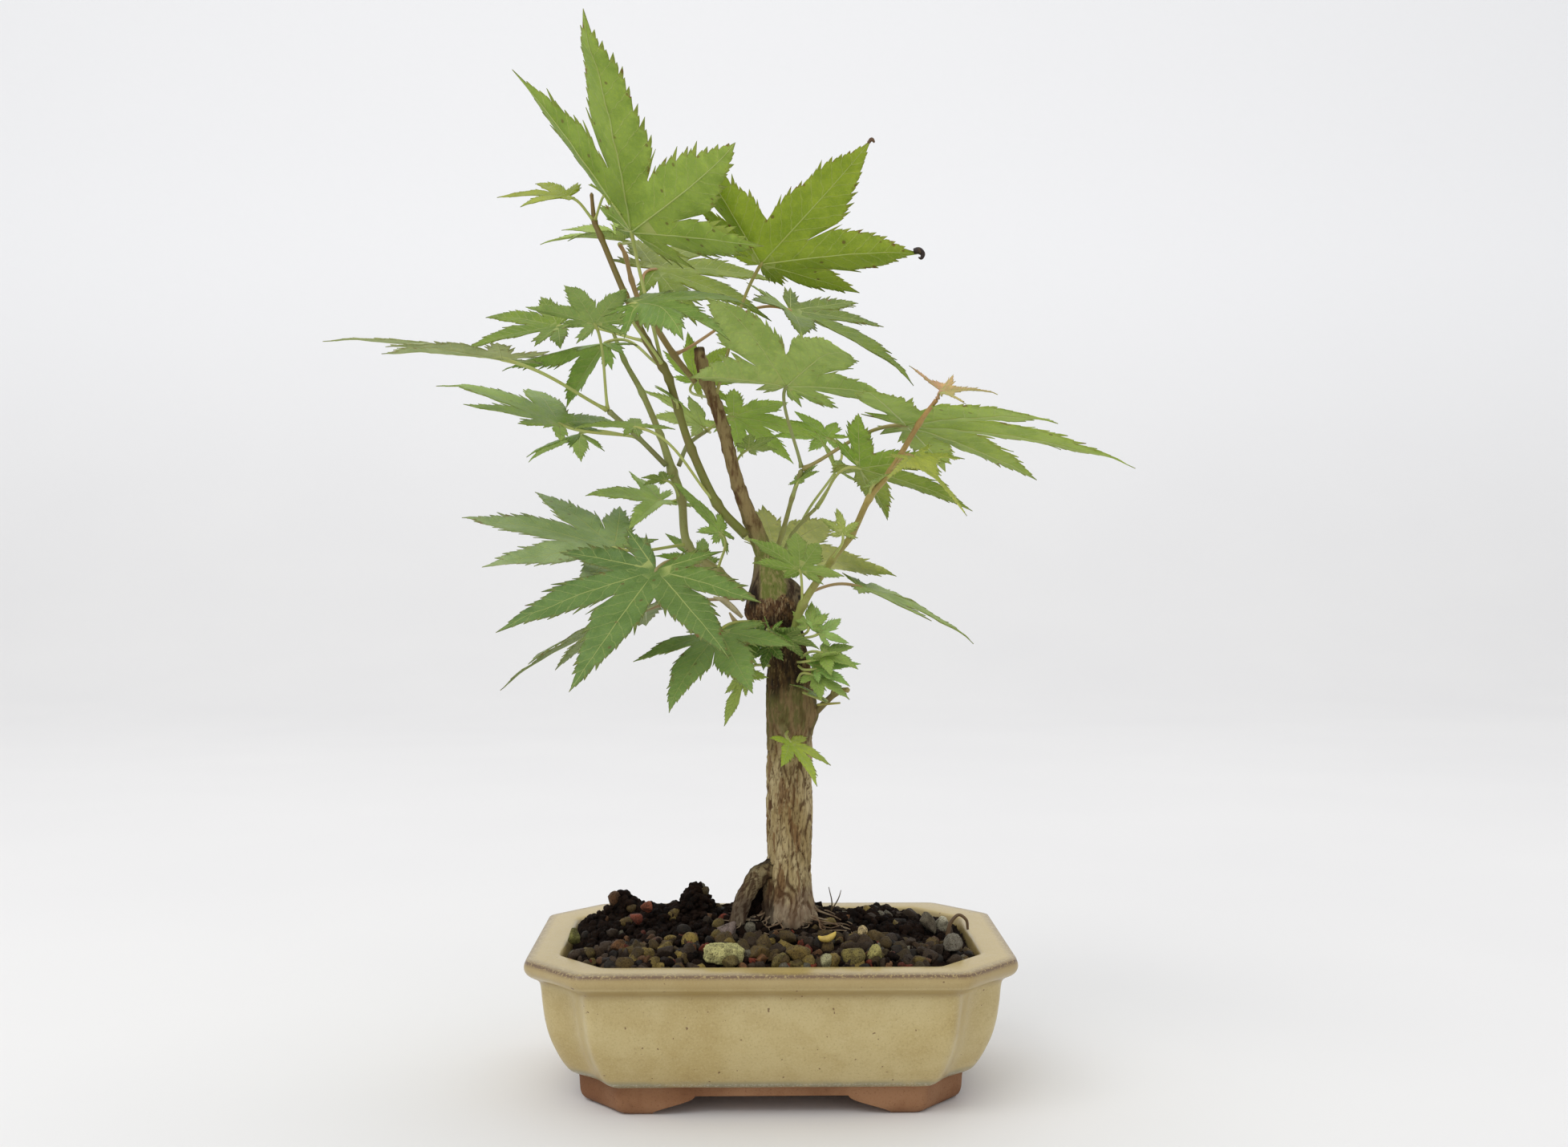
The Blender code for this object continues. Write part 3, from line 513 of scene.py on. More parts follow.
def soil_top(x, y):
    """The height of the soil's surface, without its crumbs."""
    x = np.asarray(x, float)
    y = np.asarray(y, float)
    share = rim_share(x, y)
    level = SOIL_EDGE - 0.6 + (SOIL_PEAK - SOIL_EDGE) * np.clip(1 - share, 0, 1) ** 0.8
    for clod_x, clod_y, height, radius in CLODS:
        level = level + height * np.exp(-((x - clod_x) ** 2 + (y - clod_y) ** 2) / radius ** 2)
    return level


def make_humus(name, dark, light):
    material, tree, shader = new_material(name, 0.95, specular=0.12)
    place = place_in_mm(tree)
    spots = use_group(MOTTLE, Place=place, Patches=0.25, Grain=2.2)
    fibres = clouds(stretch(place, (1.0, 2.5, 0.6)), 1.4, 5.0, 0.7)
    plug(shader["Base Color"], lay_over(
        blend(spots["Patches"], dark, light),
        (ramp(fibres, 0.56, 0.72, 0.0, 0.75), shade(88, 58, 36)),
        (ramp(spots["Grain"], 0.46, 0.36, 0.0, 0.7), shade(22, 15, 10))))
    plug(shader["Roughness"], ramp(fibres, 0.3, 0.6, 0.7, 0.98))
    add_relief(shader, plus(fibres, spots["Grain"]), 0.9, 0.8)
    return material


def make_stone_material():
    """Gravel of every kind; a stone's own colour is stored at its points."""
    material, tree, shader = new_material("gravel", 0.8, specular=0.35)
    place = place_in_mm(tree)
    spots = use_group(MOTTLE, Place=place, Patches=0.5, Grain=2.6)
    own = stored(tree, "tone", "Color")
    plug(shader["Base Color"], lay_over(
        own,
        (ramp(spots["Patches"], 0.2, 0.9, 0.0, 0.45), shade(58, 46, 34)),
        (ramp(spots["Grain"], 0.55, 0.72, 0.0, 0.7), tinted(own, (1.45, 1.4, 1.3))),
        (times(ramp(spots["Grain"], 0.47, 0.36), 0.75), shade(36, 28, 20))))
    plug(shader["Roughness"], ramp(spots["Grain"], 0.35, 0.65, 0.9, 0.62))
    add_relief(shader, spots["Grain"], 0.8, 0.5)
    return material


def rounded_ball(level):
    """Points and triangles of a ball of radius 1."""
    ball = bmesh.new()
    bmesh.ops.create_icosphere(ball, subdivisions=level, radius=1.0)
    points = np.array([vertex.co for vertex in ball.verts])
    faces = np.array([[vertex.index for vertex in face.verts] for face in ball.faces])
    ball.free()
    return points, faces


BALLS = {level: rounded_ball(level) for level in (2, 3)}


def random_turn(dice):
    """A random rotation as a 3 by 3 matrix."""
    matrix, _ = np.linalg.qr(dice.normal(size=(3, 3)))
    return matrix if np.linalg.det(matrix) > 0 else -matrix


def broken_stone(dice, half_sizes, level, chips=10):
    """A stone: a squashed ball with flat chips struck off it and a slightly uneven skin."""
    points, faces = BALLS[level]
    points = points.copy()
    for _ in range(chips):
        way = dice.normal(size=3)
        way /= np.linalg.norm(way)
        reach = points @ way
        limit = dice.uniform(0.5, 0.86)
        points -= np.outer(np.clip(reach - limit, 0, None), way)
    points *= 1 + dice.uniform(-0.035, 0.035, size=(len(points), 1))
    return points * half_sizes @ random_turn(dice).T, faces


def gather(lumps):
    """One mesh's points, faces and colours from separate lumps of (points, faces, colour)."""
    points, faces, tones = [], [], []
    start = 0
    for own_points, own_faces, tone in lumps:
        points.append(own_points)
        faces.append(own_faces + start)
        tones.append(np.tile(tone, (len(own_points), 1)))
        start += len(own_points)
    return np.vstack(points), np.vstack(faces).tolist(), np.vstack(tones)


def make_soil_bed(material):
    """The soil's crumbly upper skin, from wall to wall, on a closed body that fills the pot's mouth."""
    half_x = POT_LENGTH / 2 - RIM_INSET
    half_y = POT_DEPTH / 2 - RIM_INSET
    columns = np.linspace(-1, 1, 181)
    rows = np.linspace(-1, 1, 131)
    points = []
    for v in rows:
        for u in columns:
            squeeze = min(1.0, CORNER_SUM / max(abs(u) + abs(v), 1e-6))
            x, y = half_x * u * squeeze, half_y * v * squeeze
            rough = noise.fractal(Vector((x * 0.35, y * 0.35, 3.0)), 0.6, 2.1, 5)
            fine = noise.fractal(Vector((x * 1.1, y * 1.1, 9.0)), 0.6, 2.1, 3)
            points.append((x, y, float(soil_top(x, y)) + 1.5 * rough + 0.6 * fine))
    width = len(columns)
    faces = []
    for row in range(len(rows) - 1):
        for column in range(width - 1):
            a = row * width + column
            faces.append((a, a + 1, a + 1 + width, a + width))
    mesh = mesh_from("soil_bed", points, faces)
    bed = bmesh.new()
    bed.from_mesh(mesh)
    bmesh.ops.remove_doubles(bed, verts=bed.verts, dist=0.02 * MM)
    rim = [edge for edge in bed.edges if edge.is_boundary]
    skirt = bmesh.ops.extrude_edge_only(bed, edges=rim)
    for item in skirt["geom"]:
        if isinstance(item, bmesh.types.BMVert):
            item.co.z = POT_CENTRE[2] + SOIL_UNDERSIDE * MM
    bottom = [item for item in skirt["geom"] if isinstance(item, bmesh.types.BMEdge)]
    bmesh.ops.contextual_create(bed, geom=[edge for edge in bottom if edge.is_boundary])
    bmesh.ops.recalc_face_normals(bed, faces=bed.faces)
    bed.to_mesh(mesh)
    bed.free()
    add_piece("soil_bed", mesh, [material], "gravel_soil", "soil")


def free_spot(dice, low_y=-1.0, high_y=1.0, reach=0.95):
    """A random place on the soil, clear of the wall and the trunk."""
    while True:
        x = dice.uniform(-1, 1) * (POT_LENGTH / 2 - RIM_INSET - 1.5)
        y = dice.uniform(low_y, high_y) * (POT_DEPTH / 2 - RIM_INSET - 1.5)
        if rim_share(x, y) < reach and math.hypot(x - TRUNK_X, y) > TRUNK_CLEAR:
            return x, y


def make_crumbs(material):
    """Loose crumbs of humus, thickest on the clods."""
    dice = np.random.default_rng(11)
    lumps = []
    for number in range(2300):
        if number % 2:
            clod_x, clod_y, _, radius = CLODS[dice.integers(len(CLODS))]
            x = clod_x + dice.normal() * radius * 0.6
            y = clod_y + dice.normal() * radius * 0.6
            if rim_share(x, y) > 0.95 or math.hypot(x - TRUNK_X, y) < TRUNK_CLEAR:
                continue
        else:
            x, y = free_spot(dice)
        size = dice.uniform(0.5, 1.5) * (1.3 if dice.random() < 0.15 else 1.0)
        points, faces = broken_stone(dice, size * dice.uniform(0.7, 1.2, size=3), 2, 2)
        points = points * (1 + dice.uniform(-0.18, 0.18, size=(len(points), 1)))
        lift = float(soil_top(x, y)) + dice.uniform(-0.3, 0.9) + size * 0.4
        lumps.append((points + (x, y, lift), faces, tone_of((52, 34, 22))))
    points, faces, tones = gather(lumps)
    mesh = mesh_from("humus_crumbs", points, faces, tones=tones)
    add_piece("humus_crumbs", mesh, [material], "gravel_soil")


# Kinds of gravel: colour, its share at the front and elsewhere, and its half sizes in mm.
GRAVEL_KINDS = (
    ((144, 122, 58), 0.12, 0.05, 2.7),
    ((100, 80, 38), 0.20, 0.10, 2.8),
    ((66, 48, 28), 0.24, 0.30, 2.4),
    ((122, 116, 98), 0.08, 0.14, 1.9),
    ((134, 54, 30), 0.14, 0.12, 1.7),
    ((132, 90, 52), 0.11, 0.12, 2.1),
    ((34, 28, 22), 0.13, 0.17, 2.1),
)


def make_gravel(material):
    dice = np.random.default_rng(23)
    front = np.array([kind[1] for kind in GRAVEL_KINDS])
    other = np.array([kind[2] for kind in GRAVEL_KINDS])
    lumps = []
    for number in range(500):
        if number % 3:
            x, y = free_spot(dice, -1.0, -0.4, 0.985)
        else:
            x, y = free_spot(dice)
        if math.hypot(x - STONE_HOLLOW[0], y - STONE_HOLLOW[1]) < STONE_CLEAR:
            continue
        weights = front if y < FRONT_LINE else other
        kind = GRAVEL_KINDS[dice.choice(len(GRAVEL_KINDS), p=weights / weights.sum())]
        tone = tone_of(kind[0]) * dice.uniform(0.36, 1.0)
        half = kind[3] * dice.uniform(0.6, 1.25) * dice.uniform(0.75, 1.15, size=3)
        points, faces = broken_stone(dice, half, 3 if y < FRONT_LINE else 2)
        lift = float(soil_top(x, y)) + half.min() * dice.uniform(0.1, 0.75)
        lumps.append((points + (x, y, lift), faces, tone))
    points, faces, tones = gather(lumps)
    mesh = mesh_from("gravel", points, faces, tones=tones)
    add_piece("gravel", mesh, [material], "gravel_soil")


# Larger stones that lie on top: name, place and half sizes in mm, and colour.
SINGLE_STONES = (
    ("front_pumice", (-12.0, -40.0, 43.6), (3.2, 2.6, 2.4), (104, 90, 48)),
    ("grey_pebble", (-13.5, -17.0, 48.4), (4.2, 3.4, 2.6), (128, 112, 104)),
    ("brown_pumice", (8.0, -35.0, 45.4), (4.4, 3.2, 3.0), (118, 98, 48)),
    ("green_pumice", (24.5, -37.0, 45.2), (3.9, 3.4, 3.2), (128, 116, 60)),
    ("yellow_pumice", (31.0, -35.5, 45.4), (3.0, 2.8, 2.9), (170, 160, 96)),
    ("small_pumice", (2.0, -38.0, 44.2), (3.1, 2.6, 2.2), (118, 104, 52)),
    ("pale_pumice", (16.5, -39.0, 43.8), (2.8, 2.4, 2.2), (178, 174, 132)),
    ("white_stone", (55.0, -4.0, 47.8), (2.6, 2.4, 3.0), (186, 180, 156)),
    ("cream_pebble", (28.5, -20.0, 48.6), (2.5, 2.0, 1.5), (206, 182, 132)),
    ("red_lava", (-40.0, 4.0, 52.0), (2.4, 2.2, 2.4), (146, 78, 52)),
    ("red_lava_low", (-43.0, -2.0, 49.6), (2.6, 2.2, 2.2), (130, 66, 46)),
    ("grey_stone_right", (56.0, -24.0, 46.0), (3.8, 3.2, 2.6), (118, 112, 98)),
    ("flat_stone_right", (50.0, -8.0, 49.2), (4.8, 3.2, 2.2), (104, 96, 78)),
    ("green_stone_left", (-62.0, -10.0, 45.6), (3.2, 2.8, 2.4), (122, 120, 62)),
)


def make_single_stones(material):
    dice = np.random.default_rng(5)
    for name, centre, half, colour in SINGLE_STONES:
        points, faces = broken_stone(dice, np.array(half), 3, 9)
        mesh = mesh_from(name, points + centre, faces, tones=tone_of(colour))
        add_piece(name, mesh, [material], "gravel_soil")


def make_root_core(material):
    """Dark humus packed behind the arching root: partly soil, partly a dark fill for the gap's shade."""
    dice = np.random.default_rng(13)
    lumps = []
    for _ in range(170):
        share = dice.random()
        reach = dice.random()
        centre = (-0.5 - 8.5 * share, 1.5 - 3.0 * dice.random(), 45 + (18 - 13 * share) * reach)
        points, faces = broken_stone(dice, dice.uniform(1.0, 2.2, size=3), 2, 3)
        lumps.append((points + centre, faces, tone_of((40, 28, 18))))
    points, faces, tones = gather(lumps)
    mesh = mesh_from("root_core", points, faces, tones=tones)
    add_piece("root_core", mesh, [material], "gravel_soil")


def make_pale_stone(material):
    """The one large pumice at the front: blocky, with a flat top."""
    low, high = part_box("pale_stone")
    centre = (np.array(low + high) / 2 - POT_CENTRE) / MM
    half = (np.array(high) - np.array(low)) / 2 / MM
    points, faces = rounded_ball(5)
    points = np.sign(points) * abs(points) ** 0.72
    points /= abs(points).max(0)
    dice = np.random.default_rng(3)
    for _ in range(8):
        way = dice.normal(size=3)
        way /= np.linalg.norm(way)
        points -= np.outer(np.clip(points @ way - dice.uniform(0.75, 1.0), 0, None) * 0.9, way)
    lumpy = np.array([noise.fractal(Vector(point) * 2.2, 0.7, 2.0, 5) for point in points])
    points *= 1 + 0.10 * lumpy[:, None]
    tones = tone_of((196, 190, 128)) * (1 + 0.25 * lumpy[:, None])
    mesh = mesh_from("pale_pumice_stone", points * half + centre, faces, tones=tones)
    add_piece("pale_pumice_stone", mesh, [material], "pumice", "pale_stone")


HUMUS = make_humus("humus", shade(18, 12, 9), shade(40, 26, 18))
GRAVEL = make_stone_material()
make_soil_bed(HUMUS)
make_crumbs(HUMUS)
make_gravel(GRAVEL)
make_single_stones(GRAVEL)
make_pale_stone(GRAVEL)
make_root_core(HUMUS)


# ---- old wood ----
# The trunk, with pale corky plates split by brown furrows, greener and smoother towards a swollen graft
# knob with dark flaking bark; the leader above it, cut off at its top; and a dark root that arches out
# of the trunk's foot at the left. All of it grew as one piece.

TRUNK = (
    (6, 0, 36, 9.3), (6, 0, 40, 9.4), (6, 0, 47, 8.8), (6, 0, 53, 7.9), (6, 0, 62, 7.4), (6, 0, 86, 7.2),
    (6, 0, 112, 7.3), (6, 0, 123, 7.4), (6, 0, 131, 6.8), (5, 0, 139, 5.7), (3, 0, 145, 7.2),
    (1, 0, 150, 8.1), (0, 0, 155, 7.2), (-1, 0, 160, 4.6), (-2, 0, 166, 3.0),
)
LEADER = (
    (-0.5, 0, 157, 3.2), (-2, 0, 166, 3.0), (-5, -1, 174, 2.7), (-9, -3, 184, 2.2), (-12, -4, 194, 2.0),
    (-15, -3, 206, 2.0), (-18, -2, 215, 2.0), (-21, 0, 223, 2.1), (-23, 2, 232, 1.7),
)
ROOT_ARCH = (
    (1, -2, 66, 3.0), (-4, -4, 63, 2.9), (-8, -5, 57, 2.8), (-10, -5, 50, 2.6), (-11, -5, 42, 2.2),
)
# Swellings of the trunk: turn in degrees from the right, height, how far out, and spread in mm.
BURLS = (
    (-10, 115, 2.4, 4.5), (20, 121, 1.0, 4.0), (-60, 113, 0.8, 5.0), (0, 154, 2.0, 4.5), (175, 147, 1.8, 4.0),
    (-70, 149, 1.2, 4.0), (-120, 143, 0.9, 3.0), (90, 150, 1.4, 6.0), (-40, 131, 0.8, 3.0),
    (200, 56, 1.6, 6.0), (-80, 51, 0.8, 4.0), (-20, 50, 1.2, 5.0),
)
# How far right of the pot's middle the graft knob is, and the trunk's usual radius.
KNOB_X = 1.0
TRUNK_RADIUS = 7.5
# How strongly the bark is fissured at each height.
FISSURES = (
    (48, 0.5), (56, 1), (100, 1), (112, 0.6), (128, 0.6), (138, 0.9), (148, 1.3), (152, 0.1), (162, 0.05),
)
LEADER_NODES = (176, 187, 199, 206, 214, 221, 228)
LEADER_TOP = 230.6


def tube_frames(path):
    """Two unit vectors across a path at each of its points, turned as little as possible along it."""
    ways = np.gradient(path[:, :3], axis=0)
    ways /= np.linalg.norm(ways, axis=1)[:, None]
    side = np.cross(ways[0], (0.3, 0.9, 0.2))
    frames = []
    for way in ways:
        side = side - way * (side @ way)
        side /= np.linalg.norm(side)
        frames.append((side, np.cross(way, side)))
    return frames


def tube(path, sides, relief=None):
    """A closed tube along rows of (x, y, z, radius) in mm; relief adds height at each of its points."""
    turns = np.arange(sides) * 2 * math.pi / sides
    rings = []
    for row, (first, second) in zip(path, tube_frames(path)):
        out = np.outer(np.cos(turns), first) + np.outer(np.sin(turns), second)
        ring = row[:3] + out * row[3]
        if relief is not None:
            ring = ring + out * np.array([[relief(*pair)] for pair in zip(ring, out)])
        rings.append(ring)
    return loft(rings)


def ridge(value, width):
    """1 where the value crosses zero, falling to 0 at the width."""
    return max(0.0, 1.0 - abs(value) / width)


def furrow_at(point):
    """How deep in a furrow a point of the bark is, from 0 on a plate to 1."""
    x, y, z = point
    bend = noise.noise(Vector((x * 0.2, y * 0.2, z * 0.10)))
    broad = noise.noise(Vector((x * 0.34 + bend, y * 0.34, z * 0.075)))
    narrow = noise.noise(Vector((x * 0.85, y * 0.85, z * 0.16 + 7.0)))
    return max(ridge(broad, 0.16), 0.75 * ridge(narrow, 0.17))


def plate_strength(z):
    """How strongly the bark is fissured at a height in mm."""
    return float(np.interp(z, *zip(*FISSURES)))


def trunk_relief(point, out):
    x, y, z = point
    turn = math.atan2(out[1], out[0])
    height = 0.0
    for degrees, level, rise, spread in BURLS:
        away = math.remainder(turn - math.radians(degrees), 2 * math.pi) * TRUNK_RADIUS
        height += rise * math.exp(-(away ** 2 + (z - level) ** 2) / spread ** 2)
    wave = noise.fractal(Vector((x * 0.12, y * 0.12, z * 0.05)), 0.8, 2.0, 3)
    rough = noise.fractal(Vector((x * 0.9, y * 0.9, z * 0.5)), 0.8, 2.0, 3)
    strength = plate_strength(z)
    flaky = 0.5 * noise.fractal(Vector((x * 0.5, y * 0.5, z * 0.45)), 0.7, 2.0, 4) if 138 < z < 151 else 0.0
    return height + 0.5 * wave + 0.12 * rough + flaky - 0.75 * strength * furrow_at(point)


def make_old_bark():
    """Plates and furrows follow the mesh; broad colours change with height up the trunk."""
    material, tree, shader = new_material("old_bark", 0.9, specular=0.2)
    place = place_in_mm(tree)
    spots = use_group(MOTTLE, Place=stretch(place, (1.0, 1.0, 0.35)), Patches=0.16, Grain=1.3)
    wander = plus(part_of(place, "Z"), times(clouds(place, 0.10), 16.0))
    fibres = clouds(stretch(place, (1.0, 1.0, 0.12)), 2.0, 4.0, 0.65)
    streaks = clouds(stretch(place, (1.0, 1.0, 0.28)), 0.34, 4.0, 0.6)
    stripes = clouds(stretch(place, (1.0, 1.0, 0.12)), 0.9, 3.0, 0.6)
    ragged = plus(wander, times(clouds(place, 0.45, 3.0), 5.0))
    aside = reckon("ABSOLUTE", reckon("SUBTRACT", part_of(place, "X"), POT_CENTRE[0] / MM + KNOB_X))
    aside = plus(aside, times(streaks, 4.0))
    shoulder = times(ramp(aside, 5.6, 6.8), ramp(wander, 170.0, 167.0))
    plates = lay_over(
        blend(spots["Patches"], shade(168, 146, 100), shade(204, 186, 142)),
        (ramp(streaks, 0.52, 0.60, 0.0, 0.75), shade(124, 88, 54)),
        (ramp(fibres, 0.5, 0.66, 0.0, 0.75), shade(118, 94, 62)))
    mossy = blend(ramp(streaks, 0.44, 0.56), shade(108, 102, 58), shade(136, 114, 78))
    black = blend(ramp(streaks, 0.42, 0.60), shade(46, 34, 22), shade(92, 72, 42))
    knob = lay_over(
        blend(ramp(spots["Grain"], 0.42, 0.58), shade(72, 48, 34), shade(132, 102, 70)),
        (ramp(fibres, 0.52, 0.64, 0.0, 0.8), shade(172, 152, 116)))
    neck = blend(ramp(stripes, 0.40, 0.66), shade(112, 118, 58), shade(154, 142, 94))
    flaky = blend(ramp(streaks, 0.42, 0.56), shade(62, 46, 34), shade(118, 102, 78))
    leader = blend(ramp(streaks, 0.42, 0.60), shade(152, 132, 90), shade(98, 70, 44))
    foot = blend(spots["Patches"], shade(118, 92, 68), shade(168, 150, 124))
    colour = lay_over(
        plates,
        (ramp(wander, 108.0, 122.0), mossy),
        (ramp(wander, 127.0, 135.0), black),
        (times(ramp(wander, 108.0, 122.0), ramp(spots["Grain"], 0.54, 0.68, 0.0, 0.6)), shade(150, 130, 90)),
        (ramp(wander, 146.0, 150.0), knob),
        (ramp(ragged, 161.5, 163.0), neck),
        (times(shoulder, ramp(wander, 158.0, 160.0)), flaky),
        (ramp(wander, 176.0, 186.0), leader),
        (ramp(wander, 70.0, 62.0), foot),
        (times(ramp(stored(tree, "furrow"), 0.15, 0.8), 0.85), shade(82, 54, 32)),
        # Dark bark and cut wood, and painted shade at the trunk's left foot and on the root arch's back.
        (times(stored(tree, "hollow"), 0.9), shade(30, 22, 16)),
        (times(spots["Specks"], 0.6), shade(48, 36, 26)))
    plug(shader["Base Color"], colour)
    plug(shader["Roughness"], ramp(spots["Grain"], 0.3, 0.7, 0.78, 0.95))
    relief = plus(fibres, times(spots["Grain"], 0.7))
    add_relief(shader, relief, 0.8, 0.45)
    return material


def thicken_rows(rows, spacing):
    """A smooth path through the rows, a point about every spacing mm."""
    rows = np.asarray(rows, float)
    lengths = np.linalg.norm(np.diff(rows[:, :3], axis=0), axis=1)
    steps = max(2, int(round(lengths.mean() / spacing)))
    return glide(rows, steps)


def make_trunk(material):
    rows = np.asarray(TRUNK, float)
    levels = np.arange(rows[0, 2], rows[-1, 2], 0.6)
    curve = glide(rows, 12)
    path = np.column_stack([np.interp(levels, curve[:, 2], curve[:, axis]) for axis in range(4)])
    points, faces = tube(path, 132, trunk_relief)
    x, z = points[:, 0], points[:, 2]
    # Painted shade in the recess at the trunk's left foot, where the root arch leaves it, and darker bark
    # below 49 mm.
    left_foot_shade = (x < 1) * np.exp(-((z - 52) / 8) ** 2)
    low = np.clip((49 - z) / 3, 0, 1)
    torn = np.array([noise.fractal(Vector(point) * 0.28, 0.7, 2.0, 3) for point in points])
    at_sides = np.clip((abs(x - 0.5) - 3.5) / 2, 0, 1)
    scars = np.clip(torn * 5 + np.where(x < 0, 0.7, 0.3), 0, 1) * at_sides * np.exp(-((z - 152) / 5) ** 2)
    collar = np.clip(torn * 6, 0, 1) * np.exp(-((z - 142) / 5) ** 2)
    dark = np.max([left_foot_shade * 0.8, low * 0.8, scars, collar], axis=0)
    furrows = [furrow_at(point) * min(1.0, plate_strength(point[2])) for point in points]
    mesh = mesh_from("trunk_bark", points, faces, {"furrow": furrows, "hollow": dark})
    add_piece("trunk_bark", mesh, [material], "bark", "trunk")


def make_leader(material):
    def relief(point, out):
        x, y, z = point
        rough = noise.fractal(Vector((x * 0.7, y * 0.7, z * 0.4)), 0.8, 2.0, 4)
        joints = sum(0.45 * math.exp(-((z - level) / 1.1) ** 2) for level in LEADER_NODES)
        return 0.22 * rough + joints * (0.6 + 0.4 * math.sin(3 * math.atan2(out[1], out[0])))
    points, faces = tube(thicken_rows(LEADER, 0.6), 36, relief)
    furrows = [0.35 * furrow_at(point) for point in points]
    cut_top = 0.7 * np.clip((points[:, 2] - LEADER_TOP) / 0.8, 0, 1)
    mesh = mesh_from("leader_bark", points, faces, {"furrow": furrows, "hollow": cut_top})
    add_piece("leader_bark", mesh, [material], "bark", "trunk")


def make_root_arch(material):
    def relief(point, out):
        x, y, z = point
        return 0.7 * noise.fractal(Vector((x * 0.35, y * 0.35, z * 0.3)), 0.8, 2.0, 4)
    points, faces = tube(thicken_rows(ROOT_ARCH, 0.6), 40, relief)
    # Painted shade on the arch's back and on its end at the trunk; the rest has the arch's darker bark.
    inner_side_shade = np.clip((points[:, 0] + 13) / 6, 0, 1) * np.clip((points[:, 1] + 9) / 5, 0, 1)
    dark = np.maximum(inner_side_shade * 0.9, 0.58)
    furrows = [furrow_at(point) for point in points]
    mesh = mesh_from("root_arch", points, faces, {"furrow": furrows, "hollow": dark})
    add_piece("root_arch", mesh, [material], "bark", "trunk")


def make_fine_roots(material):
    """Hair roots bared around the trunk's foot, lying over the soil."""
    dice = np.random.default_rng(31)
    for number in range(26):
        turn = dice.uniform(-0.15, 1.15) * math.pi + math.pi
        length = dice.uniform(7, 20)
        wander = dice.uniform(-0.5, 0.5)
        rows = []
        for share in np.linspace(0, 1, 14):
            reach = 7.2 + length * share
            bend = turn + wander * share + 0.12 * math.sin(9 * share + number)
            x, y = TRUNK_X + reach * math.cos(bend), reach * 0.8 * math.sin(bend)
            lift = 3.0 * (1 - share) ** 3 + 0.5 + 0.9 * abs(math.sin(6 * share + number))
            rows.append((x, y, float(soil_top(x, y)) + lift, 0.42 - 0.28 * share))
        points, faces = tube(np.array(rows), 6)
        mesh = mesh_from("fine_root", points, faces, {"furrow": 0.0, "hollow": dice.uniform(0, 0.5)})
        add_piece(f"fine_root_{number}", mesh, [material], "bark")


OLD_BARK = make_old_bark()
make_trunk(OLD_BARK)
make_leader(OLD_BARK)
make_root_arch(OLD_BARK)
make_fine_roots(OLD_BARK)


# ---- young shoots ----
# Last year's and this year's shoots: thin, smooth and green or brownish, a little swollen at each pair
# of buds, where the leaf stalks spring. Each grew out of older wood.

SHOOTS = {
    "leader_shoot": ((-24, 1, 221, 0.9), (-31, 2, 230, 1.0), (-38, 5, 241, 1.0), (-42, 7, 247, 0.9),
                     (-45, 9, 255, 0.8), (-47, 11, 263, 0.7), (-49, 12, 267, 0.6)),
    "green_shoot": ((-8, -4, 172, 1.5), (-17, -8, 182, 1.4), (-25, -10, 199, 1.3), (-29, -10, 211, 1.2),
                    (-32, -10, 221, 1.2), (-34, -10, 225, 1.3), (-39, -9, 233, 1.1), (-46, -6, 248, 1.0),
                    (-54, -3, 267, 0.9), (-56, -2, 272, 0.8), (-57, -2, 281, 0.5)),
    "left_branch": ((-8, 6, 152, 1.8), (-17, 12, 160, 1.7), (-27, 15, 169, 1.4), (-29, 15, 184, 1.4),
                    (-32, 14, 193, 1.5), (-36, 15, 205, 1.1), (-42, 16, 219, 1.0), (-48, 17, 230, 0.8),
                    (-53, 17, 243, 0.5)),
    "left_twig": ((-34, 12, 195, 0.9), (-43, 8, 204, 0.8), (-52, 0, 212, 0.9)),
    "left_spur": ((-30, 16, 195, 0.8), (-27, 18, 202, 0.7), (-21, 22, 207, 0.6)),
    "middle_shoot": ((1, 5, 164, 1.3), (4, 5, 173, 1.2), (7, 1, 184, 1.0), (10, -3, 193, 1.1)),
    "thin_shoot": ((3, 8, 163, 0.9), (7, 9, 172, 0.8), (11, 8, 177, 0.8), (15, 7, 181, 0.7)),
    "right_shoot": ((7, -8, 139, 2.0), (10, -12, 150, 1.8), (19, -17, 164, 1.5), (25, -20, 172, 1.4),
                    (30, -26, 183, 1.4), (36, -32, 191, 1.3), (44, -40, 205, 1.1), (49, -44, 212, 0.8)),
    "stub_twig": ((14, -2, 115, 1.2), (21, -6, 122, 0.9), (25, -8, 123, 0.7)),
}
# How thin a shoot is against its row.
SLIM_SHOOTS = {"right_shoot": 0.72, "middle_shoot": 0.7, "thin_shoot": 0.75}
# Each shoot's colour at its foot and at its tip.
SHOOT_COLOURS = {
    "leader_shoot": ((146, 130, 76), (156, 124, 76)),
    "green_shoot": ((118, 124, 54), (122, 98, 52)),
    "left_branch": ((150, 146, 90), (158, 168, 98)),
    "left_twig": ((134, 140, 88), (150, 152, 98)),
    "left_spur": ((134, 140, 88), (150, 152, 98)),
    "middle_shoot": ((146, 146, 82), (158, 160, 96)),
    "thin_shoot": ((148, 150, 86), (158, 160, 98)),
    "right_shoot": ((148, 160, 80), (180, 138, 84)),
    "stub_twig": ((112, 104, 62), (158, 148, 84)),
}


